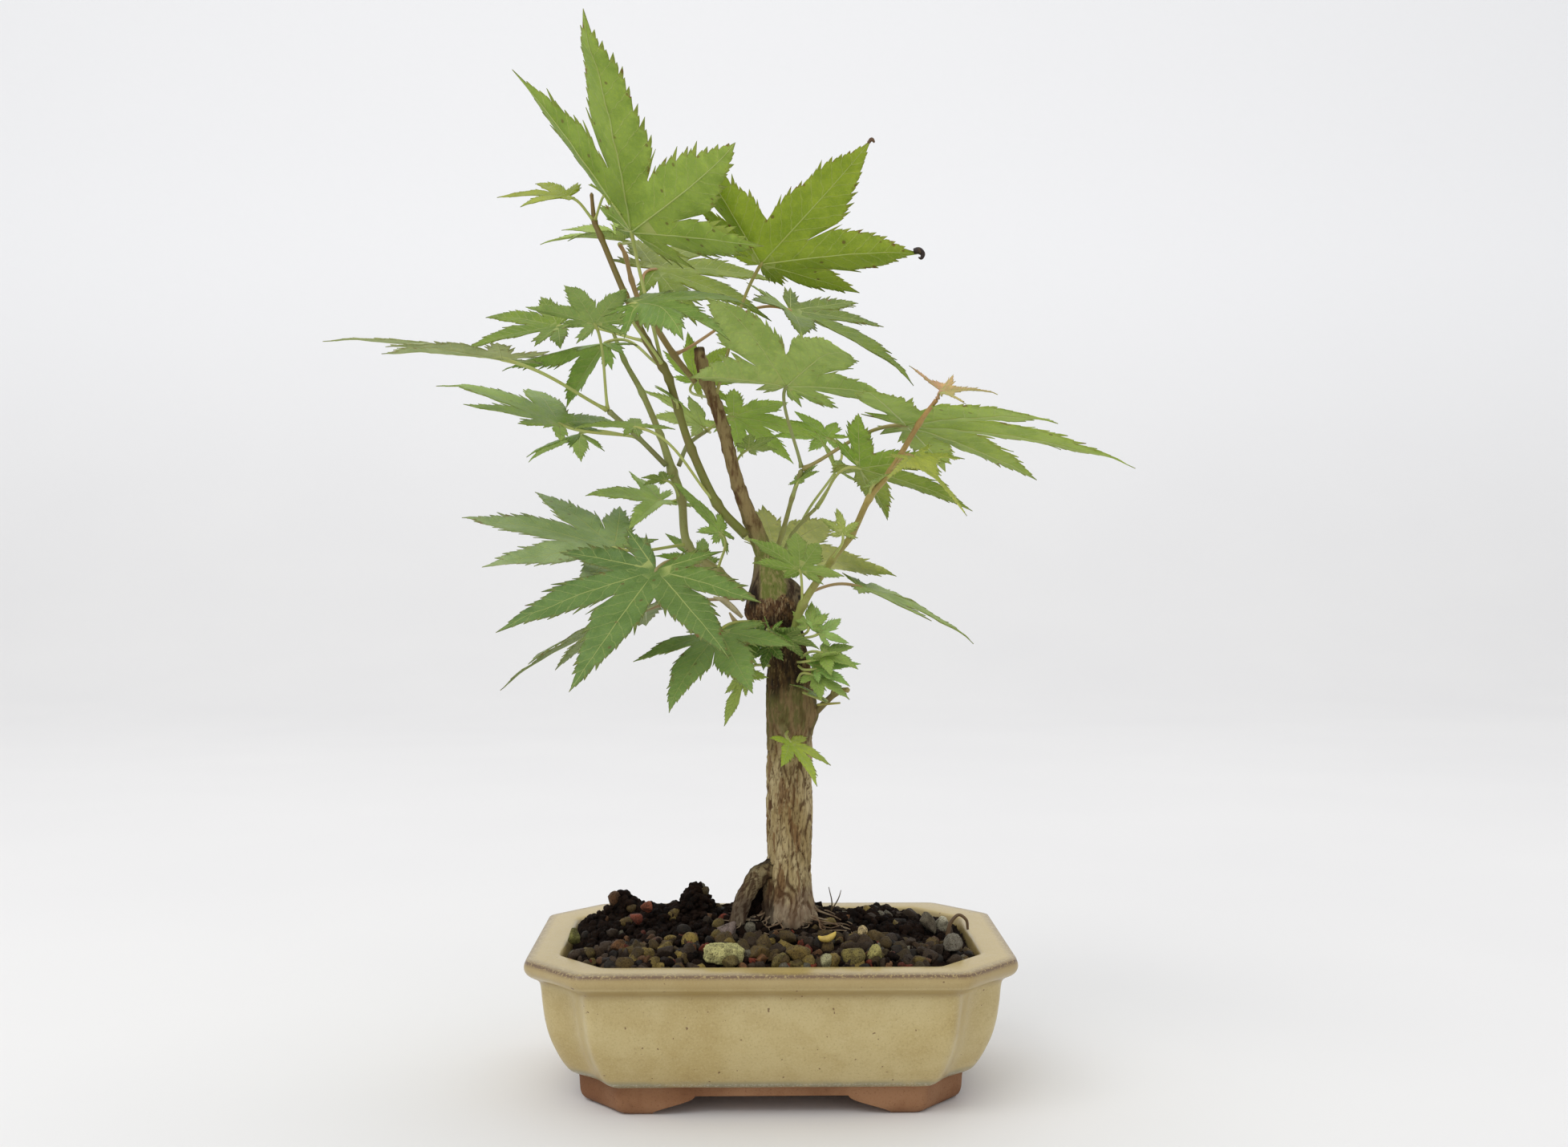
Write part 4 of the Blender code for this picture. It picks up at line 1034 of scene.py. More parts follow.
def make_young_bark():
    """Thin green bark with brown freckles; its own broad colour is stored at its points."""
    material, tree, shader = new_material("young_bark_skin", 0.5, specular=0.4)
    place = place_in_mm(tree)
    spots = use_group(MOTTLE, Place=stretch(place, (1.0, 1.0, 0.5)), Patches=0.3, Grain=2.0)
    own = stored(tree, "tone", "Color")
    plug(shader["Base Color"], lay_over(
        own,
        (ramp(spots["Patches"], 0.3, 0.9, 0.0, 0.3), shade(128, 100, 62)),
        (ramp(spots["Grain"], 0.55, 0.7, 0.0, 0.5), tinted(own, (1.25, 1.22, 1.15))),
        (times(spots["Specks"], 0.7), shade(78, 56, 40))))
    plug(shader["Roughness"], ramp(spots["Grain"], 0.3, 0.7, 0.42, 0.6))
    add_relief(shader, spots["Grain"], 0.4, 0.15)
    return material


def make_shoot(name, rows, material):
    path = thicken_rows(rows, 0.9)
    joints = np.asarray(rows, float)[1:, :3]
    for row in path:
        away = np.linalg.norm(joints - row[:3], axis=1).min()
        row[3] *= 1 + 0.28 * math.exp(-(away / 1.3) ** 2)
    path[-1, 3] *= 0.4
    path[:, 3] *= SLIM_SHOOTS.get(name, 1.0)
    points, faces = tube(path, 16)
    share = np.repeat(np.linspace(0, 1, len(path)), 16)[:, None]
    foot, tip = (tone_of(colour) for colour in SHOOT_COLOURS[name])
    mesh = mesh_from(f"{name}_bark", points, faces, tones=foot + (tip - foot) * share)
    add_piece(f"{name}_bark", mesh, [material], "young_bark", name)


YOUNG_BARK = make_young_bark()
for shoot_name, shoot_rows in SHOOTS.items():
    make_shoot(shoot_name, shoot_rows, YOUNG_BARK)


# ---- leaves ----
# Palm-like leaves of five or seven long-pointed lobes with sharply toothed edges, on slender stalks. One
# pale vein runs down each lobe, with side veins out to its teeth. The upper side is satin green, and the
# underside is paler and duller. Young leaves are small and yellow-green, and the newest ones are pinkish.

SEVEN_LOBES = {-3: (-128, 0.40), -2: (-84, 0.70), -1: (-41, 0.93), 0: (0, 1.00),
               1: (41, 0.93), 2: (84, 0.70), 3: (128, 0.40)}
FIVE_LOBES = {-2: (-98, 0.52), -1: (-50, 0.88), 0: (0, 1.00), 1: (50, 0.88), 2: (98, 0.52)}
NOTCH_REACH = 0.30
LOBE_HALF_WIDTH = 0.135
WIDEST_AT = 0.44
TOOTH_PITCH = 0.094
# One tooth and the small one on its back: places along the lobe's edge and out of it, in pitches.
TOOTH = (
    (-0.72, 0.10), (-0.56, 0.20), (-0.48, 0.26), (-0.40, 0.10), (-0.24, 0.30), (-0.10, 0.42), (0.0, 0.52),
    (0.07, -0.12),
)
VEIN_SLANT = 1.1
BLADE_THICKNESS = 0.25
# How strongly each size of vein shows its colour.
VEIN_STRENGTHS = (("Fine", 0.10), ("Side", 0.323), ("Main", 0.85))
# One row for each leaf: the shoot that it grows on and the number of that shoot's point, the base of its
# blade (mm), the length of its middle lobe (mm), the middle lobe's compass heading (0 is to the back, 90
# to the right) and pitch, the blade's roll, how far it droops and how far its side lobes lift (degrees),
# and its number of lobes.
LEAVES = {
    "upper_leaf_1": ("green_shoot", 5, (-44, -5, 268), 72, (-170, 50, -35), 15, 15, 7),
    "upper_leaf_2": ("leader", 6, (-3, -5, 258), 52, (135, 45, -45), 20, 30, 7),
    "upper_leaf_3": ("green_shoot", 9, (-64, -5, 279), 23, (-90, 5, -25), 20, 10, 5),
    "upper_leaf_4": ("green_shoot", 9, (-52, -12, 278), 11, (165, -20, -40), 20, 0, 5),
    "upper_leaf_5": ("leader_shoot", 6, (-49, 28, 271), 28, (-100, 5, -15), 30, 30, 7),
    "upper_leaf_6": ("leader_shoot", 2, (-38, 25, 261), 46, (65, 5, 35), 20, -5, 7),
    "upper_leaf_7": ("leader_shoot", 1, (7, 30, 248), 47, (120, -25, 5), 15, 10, 7),
    "upper_leaf_8": ("green_shoot", 5, (-41, -30, 242), 47, (115, -5, 25), 55, -5, 7),
    "left_leaf_1": ("left_twig", 2, (-83, -20, 226), 54, (-100, 10, 0), 15, 5, 7),
    "left_leaf_2": ("green_shoot", 6, (-68, 2, 239), 31, (-100, -10, -30), 20, 10, 7),
    "left_leaf_3": ("left_twig", 2, (-55, -13, 238), 27, (-165, 25, 10), 20, -5, 7),
    "left_leaf_4": ("green_shoot", 5, (-54, 13, 235), 35, (-105, -25, 15), 20, -20, 7),
    "left_leaf_5": ("left_twig", 1, (-68, 5, 208), 42, (-65, 25, -10), 15, 0, 7),
    "left_leaf_6": ("left_twig", 1, (-63, 22, 206), 23, (-60, -15, 0), 25, -25, 5),
    "left_leaf_7": ("green_shoot", 1, (-42, -22, 205), 19, (-95, 5, -20), 20, 0, 5),
    "middle_leaf_1": ("leader", 6, (-25, 20, 223), 21, (135, 35, -45), 20, 10, 7),
    "middle_leaf_2": ("left_spur", 2, (-23, 42, 210), 25, (-110, 35, 10), 20, 0, 5),
    "middle_leaf_3": ("middle_shoot", 3, (5, -8, 219), 51, (160, 20, -20), 40, -5, 7),
    "middle_leaf_4": ("left_spur", 2, (-12, 23, 212), 30, (100, -10, -30), 20, -5, 7),
    "middle_leaf_5": ("thin_shoot", 2, (20, 38, 206), 24, (-100, 20, 15), 20, 0, 7),
    "middle_leaf_6": ("left_branch", 1, (-16, 5, 173), 23, (-80, 40, 30), 20, -5, 7),
    "middle_leaf_7": ("left_branch", 3, (-37, 28, 184), 26, (-115, 10, -20), 25, 10, 7),
    "middle_leaf_8": ("left_branch", 2, (-23, 24, 163), 18, (-60, 40, -20), 20, 0, 5),
    "right_leaf_1": ("middle_shoot", 3, (42, -18, 206), 72, (105, -5, -10), 20, 0, 7),
    "right_leaf_2": ("thin_shoot", 3, (28, -12, 193), 38, (95, -15, -25), 20, 5, 7),
    "right_leaf_3": ("thin_shoot", 3, (21, 13, 194), 16, (-160, 40, -50), 15, 20, 5),
    "right_leaf_4": ("trunk", 11, (30, 15, 155), 43, (85, -20, 10), 20, 0, 5),
    "right_leaf_5": ("right_shoot", 2, (22, -25, 172), 10, (-160, 60, -10), 20, 0, 5),
    "right_young_leaf": ("right_shoot", 5, (42, -42, 195), 25, (120, -40, 15), 20, 5, 5),
    "right_tip_leaf": ("right_shoot", 7, (50, -46, 214), 17, (90, 5, 30), 25, 10, 5),
    "lower_leaf_1": ("trunk", 11, (-35, -32, 161), 53, (-150, -35, -15), 20, 5, 7),
    "lower_leaf_2": ("left_branch", 2, (-50, -1, 168), 50, (-90, 15, -25), 15, 0, 7),
    "lower_leaf_3": ("trunk", 10, (-16, -18, 142), 39, (-150, -30, 0), 20, -5, 7),
    "lower_leaf_4": ("left_branch", 0, (-40, 2, 148), 54, (-90, -22, 5), 20, 0, 7),
    "lower_leaf_5": ("trunk", 8, (-8, -6, 128), 18, (-110, -65, -30), 10, 0, 5),
    "neck_leaf_1": ("right_shoot", 1, (9, -18, 161), 22, (-165, 40, -10), 20, 0, 7),
    "neck_leaf_2": ("trunk", 13, (2, 38, 166), 45, (110, -5, -35), 20, 0, 7),
    "trunk_leaf_1": ("right_shoot", 0, (15, -13, 141), 12, (50, 25, 55), 20, 10, 5),
    "trunk_leaf_2": ("trunk", 8, (14, -14, 130), 15, (80, 10, 35), 20, 5, 5),
    "trunk_leaf_3": ("trunk", 7, (16, -15, 121), 11, (-95, 30, -5), 20, 0, 5),
    "trunk_leaf_4": ("trunk", 9, (0, -16, 142), 11, (140, -15, -10), 15, 40, 5),
    "trunk_leaf_5": ("trunk", 6, (6, -13, 107), 18, (135, -40, -5), 20, 5, 5),
}
# Lobes that stray from the pattern, by leaf: length against the pattern's, degrees of turn and of lift.
STRAY_LOBES = {
    "upper_leaf_1": {0: (1.08, 0, 0), 1: (0.95, 5, 0), 2: (0.6, 15, 5), 3: (0.6, -15, 0), -1: (1, -10, 0),
                     -3: (0.8, 0, 0)},
    "upper_leaf_2": {0: (1.05, -10, 5), 1: (0.9, 15, -25), 2: (0.9, 10, 5), -1: (1.05, -10, -5)},
    "upper_leaf_7": {0: (1.1, -5, 0), -1: (0.8, -10, 5), 1: (1, 10, 0), -2: (1.05, 5, 5)},
    "upper_leaf_8": {0: (0.8, 15, 0), 1: (0.95, 0, 15), -2: (0.95, -15, 0), 2: (0.5, -5, -15),
                     3: (0.6, 5, 0)},
    "left_leaf_1": {-2: (0.7, 0, 0), -1: (0.9, 0, -5), 2: (0.8, 10, 5)},
    "left_leaf_2": {-1: (0.6, -15, 0)},
    "left_leaf_3": {2: (0.6, 0, 15)},
    "left_leaf_4": {-1: (0.5, 0, 0), 0: (1, 0, 15), 1: (0.85, 5, -10), 2: (0.6, 10, 0), 3: (0.4, 0, 0),
                    -2: (0.7, -10, -15)},
    "left_leaf_5": {0: (1.1, -5, 0), -1: (0.8, 0, 0), -2: (0.7, 0, 5), 1: (1.15, 0, 0), 2: (1.1, 10, 0)},
    "left_leaf_7": {-1: (0.6, -20, 0), 1: (0.8, 40, 0), 2: (1.4, 60, 0)},
    "middle_leaf_3": {-3: (0.5, 0, 0), -2: (0.5, 0, 0), -1: (0.85, 0, -5), 0: (1, -5, 0), 1: (1.05, 10, 15),
                      2: (0.95, 0, -10), 3: (0.5, 0, 0)},
    "middle_leaf_6": {-1: (0.8, 0, 0), 0: (1, -10, 10), 1: (0.5, 5, -10), 2: (0.6, 0, 0)},
    "middle_leaf_7": {1: (0.75, 25, 10), -2: (1.2, -30, 5), -1: (1, -10, -15)},
    "right_leaf_1": {-3: (0.6, 0, 0), -1: (0.9, -10, 0), 2: (1.05, 10, 0), 3: (0.6, 0, 0)},
    "right_leaf_2": {2: (1.05, 15, 5), -1: (0.9, -25, 0), -2: (1, 5, 5)},
    "right_leaf_3": {-1: (1.3, 0, 0), -2: (1.2, -10, 0)},
    "right_leaf_4": {1: (0.7, -25, 0), 2: (0.6, 0, 0)},
    "right_young_leaf": {-1: (1, -25, 0), 1: (1, 25, 0)},
    "right_tip_leaf": {-2: (1.5, -35, 10), -1: (0.5, 0, 20), 1: (0.8, 10, 0), 2: (0.7, 0, 0)},
    "lower_leaf_1": {-1: (1, -10, 5), 1: (1.05, 0, 0), 2: (0.9, 5, -5)},
    "lower_leaf_2": {1: (1, 5, 0)},
    "lower_leaf_3": {1: (0.8, 20, 0), 2: (0.5, 15, 0)},
    "lower_leaf_5": {-1: (0.5, 20, 0), 1: (0.6, -20, 0)},
    "neck_leaf_1": {0: (1, -10, 0), -1: (1, 10, 0)},
    "neck_leaf_2": {-1: (0.4, 0, 0), -2: (0.5, 0, 0), 1: (1, 5, 0)},
    "trunk_leaf_3": {1: (0.6, 0, 0), 2: (0.5, 0, 0)},
}
# How broad a leaf's lobes are against the usual.
LOBE_BREADTHS = {"upper_leaf_1": 1.05, "upper_leaf_2": 1.25, "middle_leaf_3": 1.35, "right_leaf_1": 1.1,
                 "right_young_leaf": 0.27, "right_tip_leaf": 0.24, "upper_leaf_7": 0.9, "neck_leaf_1": 1.3,
                 "lower_leaf_3": 1.2, "left_leaf_1": 0.9, "neck_leaf_2": 1.2, "upper_leaf_4": 0.9}
VEIN_COLOUR = (190, 198, 130)
GREEN_STALK = (178, 186, 106)
ORANGE_STALK = (184, 146, 98)
# Each leaf's colour at its left and at its right lobes, its stalk's colour, and how blemished it is.
# The leaf colours hold painted light as well as the leaves' own green: leaves that light shines through
# are painted brighter, leaves in shade or behind other leaves darker, and the change from left to right
# lobes is partly painted shade.
LEAF_TONES_AND_LIGHT = {
    "upper_leaf_1": ((154, 178, 74), (126, 158, 44), GREEN_STALK, 0.8),
    "upper_leaf_2": ((140, 160, 38), (154, 178, 26), (158, 150, 84), 0.9),
    "upper_leaf_3": ((170, 180, 40), (150, 160, 26), GREEN_STALK, 0.2),
    "upper_leaf_4": ((186, 202, 100), (186, 202, 100), GREEN_STALK, 0.1),
    "upper_leaf_5": ((178, 202, 104), (146, 168, 68), GREEN_STALK, 0.5),
    "upper_leaf_6": ((130, 138, 32), (126, 148, 32), ORANGE_STALK, 0.4),
    "upper_leaf_7": ((100, 118, 14), (124, 148, 26), ORANGE_STALK, 0.5),
    "upper_leaf_8": ((124, 144, 74), (116, 150, 62), GREEN_STALK, 0.4),
    "left_leaf_1": ((164, 172, 118), (150, 168, 110), GREEN_STALK, 0.6),
    "left_leaf_2": ((104, 130, 34), (124, 146, 42), GREEN_STALK, 0.4),
    "left_leaf_3": ((138, 166, 86), (162, 190, 110), GREEN_STALK, 0.2),
    "left_leaf_4": ((118, 148, 54), (160, 200, 96), GREEN_STALK, 0.5),
    "left_leaf_5": ((176, 202, 102), (110, 140, 40), GREEN_STALK, 0.5),
    "left_leaf_6": ((154, 188, 84), (152, 182, 86), GREEN_STALK, 0.2),
    "left_leaf_7": ((126, 150, 60), (144, 166, 74), GREEN_STALK, 0.1),
    "middle_leaf_1": ((180, 202, 86), (162, 202, 64), GREEN_STALK, 0.2),
    "middle_leaf_2": ((176, 202, 96), (172, 194, 100), GREEN_STALK, 0.2),
    "middle_leaf_3": ((172, 202, 100), (170, 190, 108), (150, 156, 96), 0.4),
    "middle_leaf_4": ((166, 202, 86), (170, 202, 76), GREEN_STALK, 0.2),
    "middle_leaf_5": ((162, 200, 64), (136, 176, 58), GREEN_STALK, 0.2),
    "middle_leaf_6": ((140, 176, 64), (170, 202, 110), GREEN_STALK, 0.2),
    "middle_leaf_7": ((180, 202, 114), (162, 190, 96), GREEN_STALK, 0.3),
    "middle_leaf_8": ((146, 180, 72), (130, 158, 60), GREEN_STALK, 0.2),
    "right_leaf_1": ((154, 178, 62), (162, 190, 86), (162, 150, 92), 0.7),
    "right_leaf_2": ((148, 162, 66), (132, 170, 50), GREEN_STALK, 0.5),
    "right_leaf_3": ((162, 186, 90), (180, 200, 98), GREEN_STALK, 0.1),
    "right_leaf_4": ((132, 154, 66), (160, 182, 96), (164, 140, 92), 0.5),
    "right_leaf_5": ((162, 178, 86), (176, 188, 100), GREEN_STALK, 0.1),
    "right_young_leaf": ((196, 204, 100), (186, 188, 92), (172, 150, 96), 0.0),
    "right_tip_leaf": ((208, 156, 124), (196, 180, 108), (190, 150, 116), 0.0),
    "lower_leaf_1": ((102, 128, 58), (102, 130, 74), (150, 140, 92), 0.8),
    "lower_leaf_2": ((166, 180, 138), (138, 166, 90), GREEN_STALK, 0.6),
    "lower_leaf_3": ((128, 156, 80), (140, 168, 96), GREEN_STALK, 0.6),
    "lower_leaf_4": ((126, 144, 92), (116, 136, 78), (160, 140, 96), 0.7),
    "lower_leaf_5": ((170, 192, 88), (178, 196, 104), GREEN_STALK, 0.2),
    "neck_leaf_1": ((156, 182, 92), (130, 164, 66), GREEN_STALK, 0.1),
    "neck_leaf_2": ((198, 204, 118), (202, 208, 126), (176, 136, 92), 0.3),
    "trunk_leaf_1": ((168, 202, 118), (160, 190, 106), GREEN_STALK, 0.0),
    "trunk_leaf_2": ((162, 202, 106), (152, 190, 104), GREEN_STALK, 0.1),
    "trunk_leaf_3": ((130, 154, 72), (130, 154, 72), GREEN_STALK, 0.0),
    "trunk_leaf_4": ((98, 136, 48), (98, 136, 48), GREEN_STALK, 0.0),
    "trunk_leaf_5": ((170, 182, 72), (178, 202, 60), GREEN_STALK, 0.0),
}


def make_vein_net():
    """A leaf's veins, from numbers at its points: how far they are to the side of their lobe's midrib and
    how far along the lobe, the midrib's width, which side vein they are at (whole numbers are on a vein),
    and the gap between side veins."""
    group, given, result = new_group(
        "vein_net", {"Place": "Vector"}, {"Main": "Float", "Side": "Float", "Fine": "Float"})
    share = stored(group, "lobe_share")
    width = times(stored(group, "vein_width"), ramp(share, 0.0, 1.0, 1.1, 0.4))
    width = times(width, ramp(share, 0.0, 0.24, 0.06, 1.0))
    near = reckon("DIVIDE", stored(group, "vein_side"), width)
    plug(result["Main"], times(ramp(near, 1.25, 0.55), ramp(share, 0.04, 0.16, 0.1, 1.0)))
    wobble = times(reckon("SUBTRACT", clouds(given["Place"], 0.35, 2.0), 0.5), 0.5)
    run = plus(stored(group, "vein_run"), wobble)
    away = reckon("ABSOLUTE", reckon("SUBTRACT", run, reckon("ROUND", run)))
    away = times(away, stored(group, "vein_gap"))
    plug(result["Side"], times(ramp(away, 0.26, 0.04), ramp(share, 0.06, 0.18)))
    cells = add_node("TexVoronoi", {"Vector": given["Place"], "Scale": 0.85}, feature="DISTANCE_TO_EDGE")
    plug(result["Fine"], ramp(cells.outputs["Distance"], 0.10, 0.0))
    return group


def make_leaf_material(name, roughness, specular, vein_colour, veil, veil_amount, rise):
    """One side of a blade. The veil is a colour laid over it, and rise is how far veins stand out."""
    material, tree, shader = new_material(name, roughness, specular=specular)
    place = place_in_mm(tree)
    veins = use_group(VEIN_NET, Place=place)
    spots = use_group(MOTTLE, Place=place, Patches=0.12, Grain=0.9)
    age = stored(tree, "age")
    edge = stored(tree, "edge")
    colour = blend(veil_amount, stored(tree, "tone", "Color"), veil)
    colour = blend(ramp(spots["Patches"], 0.2, 1.0, 0.0, 0.6), colour, tinted(colour, (0.68, 0.75, 0.62)))
    colour = blend(ramp(spots["Grain"], 0.46, 0.72, 0.0, 0.6), colour, tinted(colour, (1.32, 1.24, 0.95)))
    for size, share in VEIN_STRENGTHS:
        colour = blend(times(veins[size], share), colour, vein_colour)
    scorch = times(ramp(edge, 1.3, 0.2), ramp(clouds(place, 0.22, 3.0), 0.60, 0.68))
    rim_line = times(ramp(edge, 0.3, 0.0), 0.25)
    scorch = times(reckon("MAXIMUM", scorch, rim_line), age)
    pocks = add_node("TexVoronoi", {"Vector": place, "Scale": 0.16, "Randomness": 1.0}).outputs["Distance"]
    pocks = times(ramp(pocks, 0.13, 0.07), times(age, 0.8))
    plug(shader["Base Color"], lay_over(colour, (scorch, shade(120, 78, 46)), (pocks, shade(104, 76, 44))))
    rough = ramp(spots["Grain"], 0.3, 0.7, roughness - 0.06, roughness + 0.10)
    plug(shader["Roughness"], plus(rough, times(scorch, 0.25)))
    height = plus(times(veins["Main"], rise), times(veins["Side"], rise * 0.6))
    height = plus(height, times(veins["Fine"], rise * 0.25))
    height = plus(height, times(spots["Grain"], 0.35))
    add_relief(shader, height, 0.55, 0.35)
    return material


def make_stalk_material():
    material, tree, shader = new_material("leaf_stalk", 0.45)
    place = place_in_mm(tree)
    spots = use_group(MOTTLE, Place=place, Patches=0.3, Grain=2.5)
    own = stored(tree, "tone", "Color")
    warm = tinted(own, (1.06, 0.92, 0.84))
    plug(shader["Base Color"], blend(ramp(spots["Patches"], 0.3, 1.0, 0.0, 0.6), own, warm))
    plug(shader["Roughness"], ramp(spots["Grain"], 0.3, 0.7, 0.38, 0.52))
    add_relief(shader, spots["Grain"], 0.3, 0.1)
    return material


def leaf_frame(heading, pitch, roll):
    """Axes of a blade, as columns: across it, along its middle lobe, and out of its upper side."""
    heading, pitch, roll = (math.radians(angle) for angle in (heading, pitch, roll))
    level = np.array([math.cos(heading), -math.sin(heading), 0.0])
    ahead = np.array([math.sin(heading), math.cos(heading), 0.0])
    along = ahead * math.cos(pitch) + (0.0, 0.0, math.sin(pitch))
    upright = np.cross(level, along)
    across = level * math.cos(roll) - upright * math.sin(roll)
    return np.column_stack([across, along, np.cross(across, along)])


def leaf_lobes(name, count, size, cup):
    """Each lobe's direction (radians), length (mm) and lift (degrees), from left to right."""
    pattern = SEVEN_LOBES if count == 7 else FIVE_LOBES
    stray = STRAY_LOBES.get(name, {})
    lobes = []
    for index in sorted(pattern):
        angle, length = pattern[index]
        factor, turn, extra = stray.get(index, (1, 0, 0))
        angle = math.radians(angle + turn)
        lobes.append((angle, length * factor * size, cup * (1 - math.cos(angle)) + extra))
    return lobes


def lobe_side(length, half_angle, notch, pitch, breadth, dice):
    """One toothed side of a lobe as (along, aside) points, from its notch to just short of its tip. A side
    without a neighbour starts at the leaf's base."""
    widest = LOBE_HALF_WIDTH * length * breadth * dice.uniform(0.92, 1.12)
    free = half_angle is None
    start, narrow = (0.0, 0.0) if free else (notch * math.cos(half_angle), notch * math.sin(half_angle))
    along = np.linspace(start, length, 160)
    rise = np.clip((along - start) / (WIDEST_AT * length - start), 0, 1)
    fall = np.clip((along / length - WIDEST_AT) / (1 - WIDEST_AT), 0, 1)
    swell = np.sin(rise * math.pi / 2) ** (0.8 if free else 1.3)
    aside = (narrow + (widest - narrow) * swell) * (1 - fall) ** 1.3 * (1 + 0.9 * fall)
    uneven = 0.0
    for turns in (3, 5, 7):
        uneven = uneven + dice.uniform(-0.07, 0.07) * np.sin(turns * math.pi * (along - start) / length)
    aside = aside * (1 + uneven)
    number = (along - VEIN_SLANT * aside) / pitch
    points = []

    def edge_at(value, out):
        s = float(np.interp(value, number, along))
        t = float(np.interp(value, number, aside))
        taper = min(1.0, (length - s) / (0.30 * length), (s - start) / (0.10 * length) + 0.25)
        push = out * pitch * taper
        s += push * 0.80
        t += push * 0.46
        if not free:
            t = min(t, 0.965 * s * math.tan(half_angle))
        if s < 0.985 * length and t > 0.0:
            points.append((s, t))

    tooth = math.ceil(number[0] + 0.35)
    while tooth < number[-1] - 0.6:
        shift = dice.uniform(-0.12, 0.12)
        deep = dice.choice((0.45, 0.8, 1.1, 1.5)) * dice.uniform(0.85, 1.15)
        for place, out in TOOTH:
            edge_at(tooth + place + shift, out * deep)
        tooth += 1
    smooth = []
    for s, t in points:
        if not smooth or math.hypot(s - smooth[-1][0], t - smooth[-1][1]) > 0.06:
            smooth.append((s, t))
    return smooth


def leaf_outline(lobes, pitch, breadth, dice):
    """The blade's edge in its own plane, and the place of each lobe's tip in that list."""
    outline = [(0.0, 0.0)]
    tips = []

    def lay(angle, s, t):
        outline.append((s * math.sin(angle) + t * math.cos(angle), s * math.cos(angle) - t * math.sin(angle)))

    for index, (angle, length, _) in enumerate(lobes):
        sides = []
        for other in (index - 1, index + 1):
            if 0 <= other < len(lobes):
                half = abs(lobes[other][0] - angle) / 2
                notch = NOTCH_REACH * (length + lobes[other][1]) / 2
                sides.append(lobe_side(length, half, notch, pitch, breadth, dice))
            else:
                sides.append(lobe_side(length, None, 0.0, pitch, breadth, dice))
        for s, t in sides[0]:
            lay(angle, s, -t)
        tips.append(len(outline))
        lay(angle, length, 0.0)
        for s, t in reversed(sides[1]):
            lay(angle, s, t)
        if index + 1 < len(lobes):
            half = (lobes[index + 1][0] - angle) / 2
            notch = NOTCH_REACH * (length + lobes[index + 1][1]) / 2
            lay(angle + half, notch, 0.0)
    return np.array(outline), tips


def inside(points, outline):
    """Which points are inside a closed outline."""
    x, y = points[:, 0][:, None], points[:, 1][:, None]
    ax, ay = outline[:, 0][None], outline[:, 1][None]
    bx, by = np.roll(outline[:, 0], -1)[None], np.roll(outline[:, 1], -1)[None]
    spans = (ay > y) != (by > y)
    rise = np.where(by == ay, 1e-9, by - ay)
    return (spans & (x < (bx - ax) * (y - ay) / rise + ax)).sum(1) % 2 == 1


def distance_to(points, outline):
    """How far points are from a closed outline."""
    start, end = outline, np.roll(outline, -1, axis=0)
    way = end - start
    length = (way ** 2).sum(1) + 1e-12
    share = np.clip(((points[:, None] - start) * way).sum(2) / length, 0, 1)
    return np.sqrt(((points[:, None] - start - share[..., None] * way) ** 2).sum(2)).min(1)


def in_lobes(points, lobes):
    """For each point of the flat blade: its reach and angle, its place along and aside its lobe, and which
    lobe that is."""
    angles = np.array([lobe[0] for lobe in lobes])
    reach = np.hypot(points[:, 0], points[:, 1])
    angle = np.arctan2(points[:, 0], points[:, 1])
    nearest = abs(angle[:, None] - angles[None]).argmin(1)
    turn = angle - angles[nearest]
    return reach, angle, reach * np.cos(turn), reach * np.sin(turn), nearest


def blade_sheet(lobes, size, pitch, breadth, dice):
    """The flat blade as triangles, with edges along each midrib."""
    outline, tips = leaf_outline(lobes, pitch, breadth, dice)
    spacing = max(0.045 * size, 1.1)
    points = [tuple(point) for point in outline]
    edges = []
    ribs = []
    for (angle, length, _), tip in zip(lobes, tips):
        last = 0
        for reach in np.arange(spacing, length - spacing * 0.8, spacing):
            points.append((reach * math.sin(angle), reach * math.cos(angle)))
            ribs.append(points[-1])
            edges.append((last, len(points) - 1))
            last = len(points) - 1
        edges.append((last, tip))
    low, high = outline.min(0), outline.max(0)
    grid = []
    for row, y in enumerate(np.arange(low[1], high[1], spacing * 0.866)):
        for x in np.arange(low[0] + (row % 2) * spacing / 2, high[0], spacing):
            grid.append((x, y))
    grid = np.array(grid) + dice.uniform(-0.16, 0.16, size=(len(grid), 2)) * spacing
    grid = grid[inside(grid, outline)]
    grid = grid[distance_to(grid, outline) > 0.42 * spacing]
    away = np.sqrt(((grid[:, None] - np.array(ribs)[None]) ** 2).sum(2)).min(1)
    grid = grid[away > 0.62 * spacing]
    points += [tuple(point) for point in grid]
    made = geometry.delaunay_2d_cdt([Vector(point) for point in points], edges,
                                    [list(range(len(outline)))], 1, 0.0001)
    flat = np.array([tuple(point) for point in made[0]])
    return flat, np.array([list(face) for face in made[2]]), outline


def bend_blade(flat, lobes, size, droop, seed):
    """Where the flat blade's points lie once it droops, cups, folds at its midribs and waves."""
    reach, angle, _, aside, nearest = in_lobes(flat, lobes)
    sweeps = np.random.default_rng(seed + 40).uniform(-0.09, 0.09, size=len(lobes))
    angle = angle + sweeps[nearest] * np.clip(reach / size - 0.3, 0, 1) ** 2
    lift = np.radians(np.interp(angle, [lobe[0] for lobe in lobes], [lobe[2] for lobe in lobes]))
    steps = 8
    out = np.zeros(len(flat))
    height = np.zeros(len(flat))
    for step in range(steps):
        slope = lift - math.radians(droop) * (reach * (step + 0.5) / steps / size) ** 2
        out += np.cos(slope) * reach / steps
        height += np.sin(slope) * reach / steps
    wave = np.array([noise.noise(Vector((u, v, seed * 3.7))) for u, v in flat * (5.0 / size)])
    ripple = np.array([noise.noise(Vector((u, v, seed * 1.3))) for u, v in flat * (14.0 / size)])
    height += 0.13 * abs(aside) + size * (0.022 * wave * reach / size + 0.005 * ripple)
    return np.column_stack([out * np.sin(angle), out * np.cos(angle), height])


